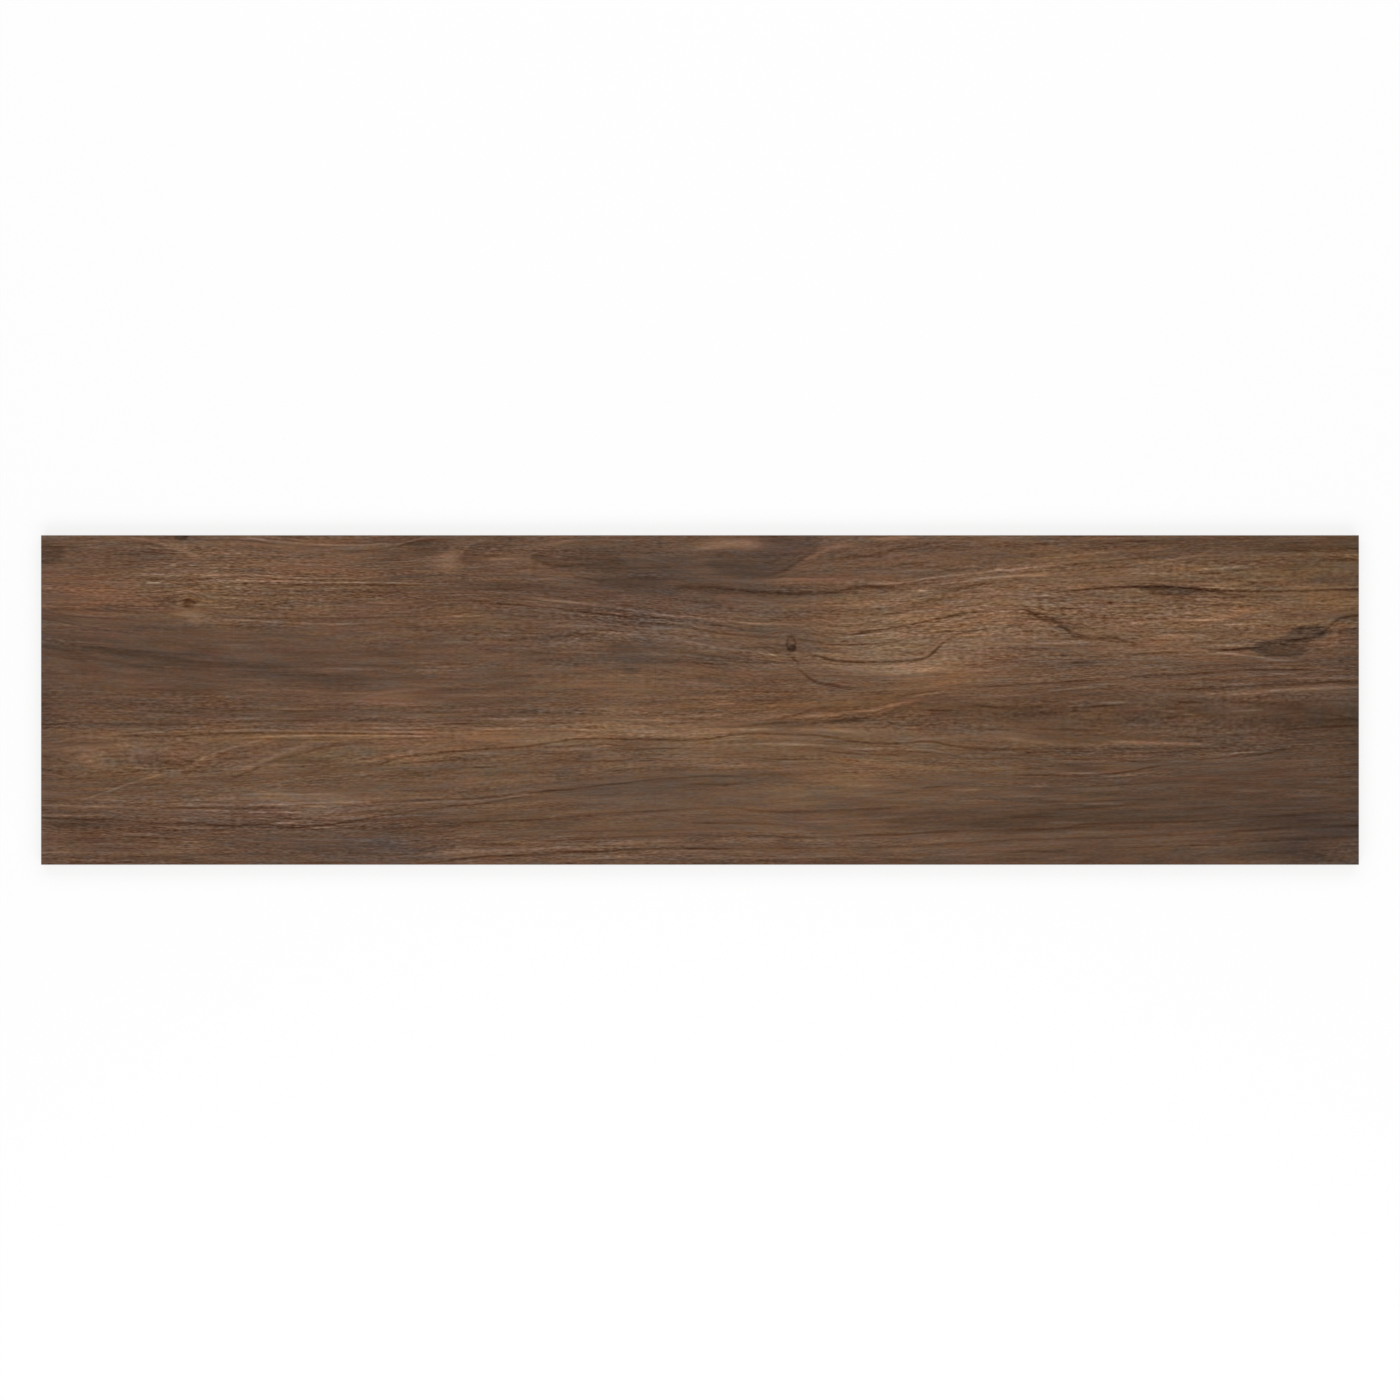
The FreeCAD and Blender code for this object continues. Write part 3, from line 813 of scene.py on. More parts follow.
# Short lines of the figure: tone, warmth, half width, middle along and down, half length, drop over that
DASHES = (
    # left quarter, far half
    (36, 0.2, 0.7, 68, 28.6, 6), (-24, -0.2, 0.6, 97, 26.2, 6), (20, 0.1, 0.6, 110, 43.6, 10),
    (16, 0.2, 0.6, 80, 80, 8), (9, 0.2, 0.6, 120, 66.5, 10), (9, 0.1, 0.7, 112, 84.5, 9),
    (10, 0.2, 0.7, 130, 94, 10), (9, 0.3, 0.7, 190, 96, 12), (-5, 0, 0.7, 124, 96, 10),
    # left quarter, near half
    (9, 0.3, 0.8, 4, 108.4, 22), (15, 0.3, 0.7, 78, 109.3, 17), (10, 0.4, 0.6, 45, 106.8, 22, 0.4),
    (-11, 0.1, 0.6, 172, 124.5, 36), (8, 0.2, 0.8, 20, 140.2, 28, -0.4), (6, 0.2, 0.8, 68, 142, 13),
    (8, 0.2, 0.8, 150, 139.6, 18), (11, -0.1, 0.7, 150, 157.6, 34), (-12, 0, 0.7, 92, 166.1, 26, -0.2),
    (10, 0, 0.6, 94, 167.5, 32, 0.2), (20, 0.1, 0.6, 146, 168.7, 24, 0.5), (-15, 0, 0.5, 152, 167, 9),
    (12, 0.2, 0.7, 171, 165.4, 15), (-10, -0.2, 1.2, 20, 177, 16), (13, 0.2, 0.8, 82, 172.9, 13),
    (22, 0.5, 0.7, 148, 175.3, 11), (30, 0.5, 0.6, 169, 178, 9), (14, 0.3, 0.8, 58, 181.8, 18, 0.8),
    (-12, 0.1, 0.7, 70, 184.5, 24, 1), (12, 0, 0.9, 123, 185.5, 13), (8, -0.1, 0.8, 178, 185.6, 36),
    (9, 0.3, 0.6, 79, 187, 20), (13, 0.5, 0.7, 4, 193.6, 20, -0.8), (8, 0.2, 0.8, 36, 198, 28),
    (9, -0.1, 0.8, 166, 195.7, 16), (-13, 0, 0.9, 157, 107, 15, -0.3), (10, 0.2, 0.6, 156, 105.6, 16),
    (-14, 0, 0.9, 43, 134.6, 13, -0.9), (-11, 0, 0.7, 97, 144.2, 19, -0.5),
    # second quarter, far half
    (9, 0.2, 0.8, 280, 14, 16, -0.5), (5, 0.2, 0.7, 291, 21, 14), (10, 0.2, 0.7, 304, 26.5, 11),
    (7, 0, 0.7, 357, 18, 18, 0.3), (7, 0, 0.6, 363, 21, 18, 0.3), (8, 0, 0.6, 375, 15.2, 12, 2.6),
    (-7, 0, 0.9, 281, 32.4, 20), (7, 0.3, 0.7, 255, 36, 12), (13, 0.3, 0.6, 210, 40.8, 20),
    (18, 0, 0.6, 379, 56.6, 9, 0.6), (-9, 0, 0.6, 436, 68, 12), (18, 0.3, 0.6, 257, 48.9, 13, -0.4),
    (6, 0.4, 0.7, 236, 51.8, 28), (-9, -0.3, 0.8, 300, 71.6, 18, -0.3), (9, 0, 0.6, 337, 71.5, 13),
    (7, 1.1, 1, 265, 97.4, 20, -0.4),
    # second quarter, near half
    (10, 0.5, 0.8, 262, 105.6, 17, -0.5), (13, 0.2, 0.9, 284, 111.8, 24), (8, 0.2, 0.5, 215, 117.2, 27),
    (11, 0.2, 0.7, 336, 114.8, 17), (10, 0.3, 0.6, 219, 122, 22), (14, 0.3, 0.8, 267, 132.9, 14),
    (12, 0.4, 0.9, 393, 140, 19), (10, 0.2, 0.6, 311, 149, 16), (-8, -0.3, 0.6, 313, 155.4, 14, -0.4),
    (-10, -0.3, 0.6, 347, 151.7, 15, -0.9), (-5, -0.2, 0.6, 388, 147.6, 14, -0.7),
    (12, 0.3, 0.7, 288, 175.4, 14, -0.3), (9, 0, 0.8, 214, 183.2, 18), (10, 0.3, 0.7, 270, 183.6, 13),
    (-8, 0, 0.7, 242, 107.6, 22), (-10, 0, 0.8, 201, 111.7, 13), (-17, 0, 0.5, 249, 114.8, 18, -0.3),
    (-16, 0, 0.5, 246, 117.1, 14, -0.3), (-11, 0, 0.6, 319, 119.3, 17), (-16, 0, 0.6, 310, 114.7, 14),
    (-7, 0, 0.7, 393, 111.4, 14, 0.5), (-17, 0.1, 0.6, 265, 141.4, 15), (-11, 0, 0.7, 320, 137.3, 14),
    (-15, 0, 0.7, 345, 137.4, 14), (-10, 0, 0.7, 348, 143, 14), (-8, 0, 0.7, 222, 150.5, 20),
    (-15, 0, 0.7, 204, 167.8, 15, -0.6), (-17, 0, 0.8, 280, 188.2, 17, -0.6),
    # third quarter, far half
    (-8, 0.2, 0.8, 584, 5, 14, -0.8), (-10, -0.1, 0.8, 526, 17.4, 14, -1.7), (9, 0.2, 0.9, 510, 22.7, 11),
    (11, 0.2, 0.6, 533, 20.9, 15, -0.3), (10, 0, 0.8, 520, 73.8, 20, -0.6),
    (6, 0, 0.8, 518, 69.4, 20, -0.8), (11, 0.2, 0.7, 569, 82, 13), (9, 0.3, 0.7, 429, 82.2, 9),
    (9, 0.3, 0.7, 438, 84.2, 10), (9, 0.3, 0.8, 585, 97.6, 20, -0.5), (-12, 0, 0.6, 588, 31.3, 18),
    (-15, 0, 0.9, 517, 47.6, 12, -1.8), (-9, -0.2, 0.9, 582, 73.7, 17), (-13, 0.3, 0.7, 545, 84.4, 9),
    (-10, 0, 0.6, 515, 88.5, 13), (-13, -0.3, 1.1, 556, 48.4, 16, -2.2), (-12, 0, 0.8, 557, 60, 10, -2.2),
    (-18, -0.3, 1.2, 457.5, 75.5, 4, 3.5), (28, 0.3, 0.8, 581, 20.6, 4), (20, 0.3, 0.7, 590, 22, 4),
    (26, 0.2, 0.9, 535, 33.4, 4),
    # third quarter, near half
    (17, 0.6, 0.8, 418, 102, 13, -0.5), (10, 0.5, 0.8, 403, 109.5, 14, -0.4), (9, 0.3, 0.8, 546, 101.6, 13),
    (10, 0.4, 0.9, 457, 138, 12, -0.5), (10, 0.4, 0.7, 412, 140.1, 16), (9, 0.3, 0.9, 579, 141.8, 18, -0.8),
    (12, 0.2, 0.7, 497, 152.6, 13), (9, 0.2, 0.8, 540, 151, 11, -0.5), (12, 0.2, 0.8, 561, 155.1, 12, -0.3),
    (6, 0.2, 0.9, 455, 158.8, 16, -0.7), (5, 0.1, 0.8, 589, 191.4, 18, -0.5),
    (-13, 0.2, 0.9, 401, 111.9, 18), (-14, 0, 0.8, 547, 106.8, 14), (-9, 0, 0.9, 581, 118.2, 20, 0.8),
    (-10, 0.1, 0.7, 584, 136.4, 20), (-8, 0, 0.6, 420, 142.2, 26, -0.6),
    (-8, -0.2, 0.6, 406, 146.6, 20, 0.2), (-7, 0, 0.6, 470, 150.5, 26), (-9, 0, 0.7, 515, 157.4, 14, -1.1),
    (-14, 0.2, 0.5, 544, 153.3, 15, -1.1), (-10, 0, 0.7, 422, 175.5, 34, 0.4),
    (-11, 0, 1, 521, 197.9, 15, 0.3),
    # right quarter, far half
    (9, 0.3, 1.1, 675, 22.8, 23), (10, 0.3, 0.8, 619, 26.9, 14, -0.4), (9, 0.3, 0.6, 664, 20.6, 8),
    (14, 0.4, 0.6, 716, 31.6, 15), (11, 0.3, 0.7, 666, 38.6, 13, 0.3), (19, 0.3, 0.8, 682, 40.7, 9),
    (11, 0.3, 0.7, 609, 36.6, 11), (9, 0.3, 0.7, 636, 37.6, 7), (16, 0.3, 0.7, 729, 40.8, 8, -0.2),
    (22, 0.4, 0.7, 706, 51.2, 19, -0.4), (15, 0.3, 0.7, 721, 54.2, 13, -0.6), (17, 0.3, 0.6, 685, 61, 8),
    (14, 0.2, 0.6, 699, 60.7, 9), (15, 0.2, 0.8, 621, 65.2, 20, -0.3), (22, 0.3, 0.7, 722, 67, 10),
    (15, 0.2, 0.7, 751, 76, 14), (11, 0.1, 1.2, 675, 79.6, 16, -0.4), (22, 0.2, 0.6, 753, 84.2, 10),
    (14, 0.2, 0.6, 738, 85.1, 12), (11, 0.2, 0.6, 705, 88.9, 12), (18, 0.3, 0.6, 785, 82, 9),
    (10, 0.2, 0.6, 651, 90.2, 11, -0.6), (-13, 0.3, 0.8, 664, 3.2, 12), (-8, 0.2, 0.8, 609, 4.6, 9),
    (-8, 0.2, 0.9, 645, 4.6, 16), (-20, 0, 0.5, 667, 28.9, 11), (-15, 0, 0.6, 775, 28.5, 15),
    (-14, 0, 0.6, 755, 30, 9), (-14, 0, 0.8, 788, 14.6, 17), (-22, 0, 0.7, 622, 44.2, 9),
    (-15, 0, 0.8, 630.5, 46.2, 8), (-14, 0, 0.6, 606, 38.2, 11), (-17, 0, 0.6, 645, 50, 15, 0.4),
    (-14, 0, 0.6, 672, 51, 11, 0.4), (-15, 0, 0.7, 692, 53.5, 14, 0.7), (-20, 0, 0.6, 698, 58.6, 9),
    (-17, -0.3, 1.7, 601.5, 47.4, 8, 3.6), (-10, -0.2, 1, 591, 54.6, 7, -1),
    (-16, -0.2, 0.9, 612, 49.6, 5, 1.2), (-18, -0.2, 1, 619.5, 55.6, 4, 1.6),
    (-14, 0, 0.7, 633, 60.8, 6, 0.3), (-12, 0, 0.7, 652, 64.6, 6, 0.8), (-11, -0.3, 0.8, 627, 77.1, 14),
    (-10, -0.1, 0.8, 770, 79.2, 22, -0.4), (-15, 0, 0.7, 650, 99.5, 18), (-13, 0, 0.6, 607, 47.4, 6, 2.2),
    (-12, 0, 0.7, 616, 50.4, 6, 1), (-13, 0, 0.6, 628, 59.4, 4, 1.5), (-12, 0, 0.6, 645, 63.9, 7, 0.2),
    (-11, 0, 0.6, 660, 64.4, 5, 0.9), (-11, 0, 0.6, 706, 48.8, 11), (-11, 0, 0.9, 716, 42.2, 9, -0.3),
    (-10, 0, 0.6, 755, 46.6, 6), (-9, 0, 0.8, 749, 58.4, 6), (-8, 0, 0.8, 727, 58.2, 8, -0.7),
    (-8, 0, 0.9, 742, 28.6, 12), (-9, 0, 0.6, 787, 58.6, 7), (12, 0.2, 0.7, 704, 38, 7),
    (9, 0.3, 1.4, 782, 65.6, 9), (-12, -0.2, 0.8, 752, 73, 14, 0.2),
    # right quarter, near half
    (15, 0.2, 0.7, 650, 101.7, 12, -0.3), (10, 0.3, 0.7, 632, 103.3, 13, -0.9),
    (19, 0.3, 0.7, 687, 106.9, 13), (14, 0.2, 0.7, 731, 106.7, 14, -0.6), (14, 0.2, 0.6, 697, 109, 7),
    (10, 0.6, 0.7, 664, 134.4, 15), (3, 1.2, 0.7, 655, 135.8, 16), (16, 0.3, 0.6, 692, 137.6, 9),
    (21, 0.2, 0.6, 630, 144.9, 17, -0.2), (14, 0.2, 0.6, 727, 132.4, 15, -1),
    (15, 0.2, 0.6, 767, 127.2, 15, -0.5), (8, 0.3, 0.7, 773, 121.6, 15, -0.5),
    (12, 0.2, 0.6, 777, 150.4, 13), (10, 0.2, 0.7, 736, 155.7, 12, -0.4), (10, 0.2, 0.7, 771, 155.6, 11),
    (7, 0.2, 0.7, 766, 158.6, 12), (10, 0.2, 0.8, 607, 153, 10), (9, 0.2, 0.6, 616, 160.4, 8),
    (15, 0.3, 0.7, 645, 163.4, 16, -0.4), (10, 0.1, 0.9, 621, 175, 13), (9, 0.2, 0.8, 621, 196.6, 12, -0.4),
    (8, 0, 0.7, 708, 193, 10), (8, 0.1, 0.6, 724, 175.3, 8), (-16, 0, 0.8, 697, 101.6, 14),
    (-17, 0, 0.6, 646, 103.8, 15, -0.6), (-9, 0, 0.7, 613, 101, 9), (-8, 0, 0.8, 669, 117.6, 15, -0.5),
    (-9, 0, 0.8, 784, 112, 22, -0.4), (-7, 0, 0.8, 735, 121, 20, -0.6), (-13, 0.1, 0.7, 620, 129.9, 17),
    (-15, 0.1, 0.6, 658, 130.1, 14), (-15, 0.1, 0.6, 604, 132.4, 11), (-19, 0.1, 0.5, 629, 136.3, 17),
    (-14, 0, 0.8, 603, 142, 9), (-5, 0, 0.9, 705, 166.1, 17, -0.7), (-8, 0, 0.9, 618, 192.8, 22),
    (-8, 0, 0.8, 790, 147, 10),
)

LINES = tuple(GrainLine(*line[:3], pair_up(line[3:])) for line in STROKES)
LINES += tuple(dash(*line) for line in DASHES)

# Soft zones of the figure: along, down, half length, half width, tone, then where they have them warmth,
# gold, grit and lean
PATCHES = tuple(GrainPatch(*zone) for zone in (
    # left quarter, far half
    (88, 8, 12, 3.5, 9, 0.1, 0, 0, 0.5), (100, 26, 60, 12, 7, 0.1, 0, 0.7),
    (160, 30, 70, 16, 3, 0.2, 0, 0.4), (28, 33, 36, 13, 3, 1), (160, 21, 34, 5, 3, 1),
    (75, 41, 45, 4, 0, 0.5), (92, 48, 8, 4, 21, 0.2), (81, 39.5, 9, 2.2, -10, -0.8), (89, 34, 6, 1.8, 10),
    (215, 46, 50, 14, 2, 0.5), (110, 76, 130, 18, -5, -0.3, 0, -0.7, 0.05),
    (45, 72, 55, 6, -5, -0.3, 0, 0, 0.12), (150, 86, 60, 7, -5, -0.7), (40, 90, 60, 10, -2, -0.1, 0, -0.4),
    (60, 108, 90, 8, -6), (212, 97, 24, 5, 11, 0.8), (160, 97, 35, 5, 4, 0.3),
    # left quarter, near half
    (170, 126, 190, 10, 4, 0.25), (30, 134, 16, 8, 5, 0.2), (62, 131, 5, 6, 5, -0.1),
    (84, 132, 9, 9, 2, 0.7), (119, 135, 13, 3, -8, 0, 0, 0, -0.2), (13, 131, 12, 5, -5),
    (145, 161, 55, 6, 10, 0.1), (60, 160, 50, 8, 2, 0.1), (22, 174.5, 22, 3.6, -12, -0.2),
    (105, 179, 110, 5, -6, 0, 0, 0.4), (45, 183, 40, 6, -2, 0.6), (180, 192, 50, 9, -5, -1),
    (100, 172, 110, 6, 0, 0, 0, 0.5),
    # second quarter, far half
    (231, 6, 12, 4, -12, -0.5), (246, 16, 9, 6, 13, 0.5, 0, 0, -0.3), (286, 17, 15, 6, 8, 0.5),
    (312, 4.5, 13, 2, 10, 0.3), (390, 20, 62, 13, -9, -1, 0, -0.4), (360, 27, 24, 4.5, -9, -0.3),
    (285, 32, 24, 4.5, -11), (365, 72, 30, 7, -4, -0.4, 0, -0.4), (288, 87, 13, 3.5, -8, -0.2),
    (350, 90, 45, 9, 5, 0.2, 0, -0.2), (380, 52, 60, 12, -1, -0.6, 0, 0.5), (280, 101, 32, 3, -6),
    (298, 107.4, 11, 2, -10, -0.8),
    # second quarter, near half
    (240, 122, 45, 8, 1, 0.7), (366, 113, 60, 6, 8, 0.2, 0, 0.4), (366, 154, 50, 8, -6, -1, 0, -0.3),
    (232, 175, 45, 4.5, -8), (215, 191, 24, 9, -6, -1), (330, 194, 110, 5, 4, 0, 0, 0.4),
    (400, 165, 130, 14, 0, 0, 0, -0.5),
    # third quarter, far half
    (415, 5, 22, 4, 13, 0.6), (478, 26.5, 34, 3.4, 0, 1), (440, 33, 80, 3, -8, -0.4),
    (428, 92, 45, 12, 1, 0.4), (460, 106, 80, 6, 1, 1), (545, 92, 40, 7, 2, 0.9, 0, 0, -0.35),
    (455, 66, 18, 12, -5, -0.5), (555, 50, 90, 30, 9, 0, 0, 0.5), (518, 79, 40, 6, 11, -0.2),
    (520, 66, 40, 7, 6, -0.6), (415, 75, 18, 4, -9, -0.9),
    # third quarter, near half
    (470, 120, 220, 4, 7, 0.1), (430, 147, 25, 4, -7, -0.8), (500, 136, 60, 8, 4),
    (560, 172, 80, 6, -9, 0, 0, -0.4), (500, 158, 90, 8, 2, 0, 0, -0.3),
    # right quarter, far half
    (700, 48, 110, 14, 8, 0.5, 0, 0.6), (745, 47, 40, 7, 6, 0.5), (690, 23, 130, 7, 6, 0.5),
    (610, 20, 30, 8, 2, 0.4), (755, 5, 70, 5, -10, -0.1), (672, 5, 40, 4, -4, 0.5), (629, 18, 18, 3, -8),
    (788, 66, 14, 5, 5, 0.7), (622, 57, 7, 6, -10, -0.7, 0, 0, 0.5), (640, 76, 30, 4, -3, -0.7),
    (740, 82, 70, 6, -5, 0, 0, 0.3),
    # right quarter, near half
    (580, 107, 60, 7, -9, -0.1, 0, -0.3), (700, 109, 90, 8, -11, -0.2, 0, -0.3),
    (770, 110, 40, 9, -5, -0.2), (620, 148, 60, 14, -1, 0.1), (755, 150, 70, 14, -8, -0.3, 0, -0.4),
    (705, 140, 22, 8, -2, -0.5), (715, 153, 45, 6, 0, 0.5), (690, 172, 90, 9, -10, -0.1, 0, -0.4),
    (775, 180, 50, 18, -15, -1, 0, -0.3), (640, 193, 60, 8, -6, -0.1, 0, -0.4), (600, 178, 60, 4, -5),
    # broad zones
    (130, 7, 45, 9, 6, 0.3), (95, 36, 25, 10, 4, 0.4), (220, 34, 50, 7, -8), (545, 64, 75, 30, 6, 0.4),
    (512, 84, 24, 7, 7), (556, 73, 25, 8, 6, 0, 0, 0, -0.4), (692, 65, 42, 10, 12, 0.6),
    (790, 36, 28, 5, 9, 0.7), (612, 32, 30, 12, 5), (625, 11, 40, 5, 6, 0.4), (380, 61, 60, 7, 5),
    (340, 122, 150, 7, 9, 0.4), (225, 134, 35, 5, 7, 0.5, 0, 0, -0.15), (418, 141, 28, 7, 7, 0.5),
    (495, 144, 35, 8, 5, 0.9), (300, 152, 35, 6, 6, 0.3), (95, 135, 35, 5, 6, 0.5), (180, 165, 45, 10, 5),
    (225, 194, 55, 6, 6, 0.5), (60, 199, 90, 4, -10), (470, 199, 150, 4, -9), (755, 197, 80, 5, -7, -0.5),
    (210, 94, 80, 4, -5), (700, 126, 110, 8, -9, -0.6), (790, 118, 30, 16, -8),
    (650, 160, 80, 16, -5, -0.5), (345, 39, 35, 5, -5), (570, 104, 45, 4, -4), (0, 105, 8, 25, -8),
    # zones of hue
    (740, 26, 90, 26, 0, -0.3, 1), (785, 22, 30, 24, 0, 0, 0.7), (620, 16, 35, 12, 0, -0.2, 0.7),
    (690, 60, 70, 14, 0, -0.2, 0.5), (470, 105, 90, 8, 0, 0, 1), (530, 93, 50, 8, 0, 0, 0.9, 0, -0.25),
    (110, 36, 45, 14, 0, -0.3, 0.9), (205, 30, 35, 7, 0, -0.2, 0.8), (264, 50, 25, 7, 0, 0, 0.8),
    (185, 134, 25, 7, 0, -0.8, 0.8), (45, 146, 40, 8, 0, -0.1, 0.7), (290, 176, 50, 10, 0, -0.1, 0.7),
    (360, 122, 160, 8, 0, -0.2, 0.6), (500, 140, 90, 18, 0, -0.1, 0.5), (110, 122, 60, 4, 0, 0, 0.8),
    (795, 106, 8, 12, 0, -0.8, 0.8), (130, 80, 80, 12, 0, 0, -0.5), (30, 62, 40, 10, 0, 0, -0.5),
    (375, 38, 70, 30, 0, 0.1, -0.7), (452, 6, 20, 9, 0, 0.3, -1.2), (515, 60, 55, 14, 0, -0.3, -0.2),
    (610, 68, 40, 7, 0, 0, -0.6), (360, 153, 45, 9, 0, 0.1, -0.5), (135, 168, 80, 9, 0, 0, -0.7),
    (200, 192, 45, 9, 0, 0.2, -1), (775, 180, 42, 18, 0, 0.3, -1.3), (0, 100, 8, 110, 0, 0, -1),
    # small blots
    (100, 32, 6, 1.6, -12), (213, 13.5, 8, 2, -9), (248, 11.5, 7, 1.8, 10, 0.2), (250, 19, 7, 1.8, 9, 0.3),
    (259, 12, 5, 4, -8), (484, 6.5, 10, 3, 8, 0.4), (536, 33.6, 5, 1.5, 18, 0.3),
    (515, 39, 16, 2.4, 7, 0.1), (460, 48.8, 10, 1.8, -9), (405, 86, 6, 2, -6), (31, 134.5, 7, 4, 10, 0.2),
    (44, 133, 10, 3, -5), (66, 136, 9, 3, -5, 0.1), (120, 141, 12, 2.2, 7, 0.2), (52, 127.4, 8, 2.4, 7),
    (329, 135, 7, 2, -10), (386, 143.5, 14, 2.4, -6, -0.2), (225, 145, 22, 3, -5, 0.1),
    (630, 141.2, 12, 1.8, -10), (608, 171, 14, 3, -6), (743, 65.4, 6, 1.8, -10), (768, 56, 8, 1.6, -9),
    (777, 60, 4, 2.4, -9), (520, 107.5, 7, 2.4, -6), (490, 114, 10, 1.8, -6),
    (113, 135.4, 8, 2.2, -8), (150, 172.8, 8, 1.6, -7), (70, 74, 60, 3.4, -4, -0.3, 0, 0, 0.1),
    (465, 34.4, 30, 1.7, -6, -0.2), (793, 53, 8, 2.6, 5), (758, 63, 9, 3, -5), (648, 126, 46, 2.6, 5, 1, 1),
    # painted shade: the last zone darkens the whole right end, where the light falls off as in a vignette
    (806, 100, 18, 120, -8, -0.6),
    # broad tints: golden right of the knot and below the crack, warm far left and left, olive near left,
    # golden middle
    (530, 56, 80, 24, 0, 0.3, 0.9), (28, 40, 45, 12, 2, 0.5), (200, 144, 150, 18, 2, -0.2, 0.6),
    (350, 92, 70, 14, 2, 0.1, 0.5), (490, 145, 120, 24, 2, 0, 0.3), (640, 108, 90, 20, 0, 0.1, 0.5),
    (110, 88, 90, 14, 0, 0.4),
    # speckle
    (150, 32, 80, 14, 0, 0, 0, 0.15), (640, 60, 150, 38, 0, 0, 0, 0.2),
    (600, 165, 200, 40, 0, -0.15, 0.2, -0.2), (600, 185, 190, 22, 0, 0, 0, -0.3),
    (430, 25, 60, 12, 0, 0, 0, -0.2), (140, 80, 120, 16, 0, 0, 0, -0.2),
))


@dataclass(frozen=True)
class Sheen:
    """How a finish takes the light.

    Attributes:
        relief: Strength of its fine relief.
        relief_depth: Depth of that relief, in metres.
        roughness: How matte it is.
        unevenness: How much noise changes that.
        specular: How strongly it reflects.
    """

    relief: float
    relief_depth: float
    roughness: float
    unevenness: float
    specular: float


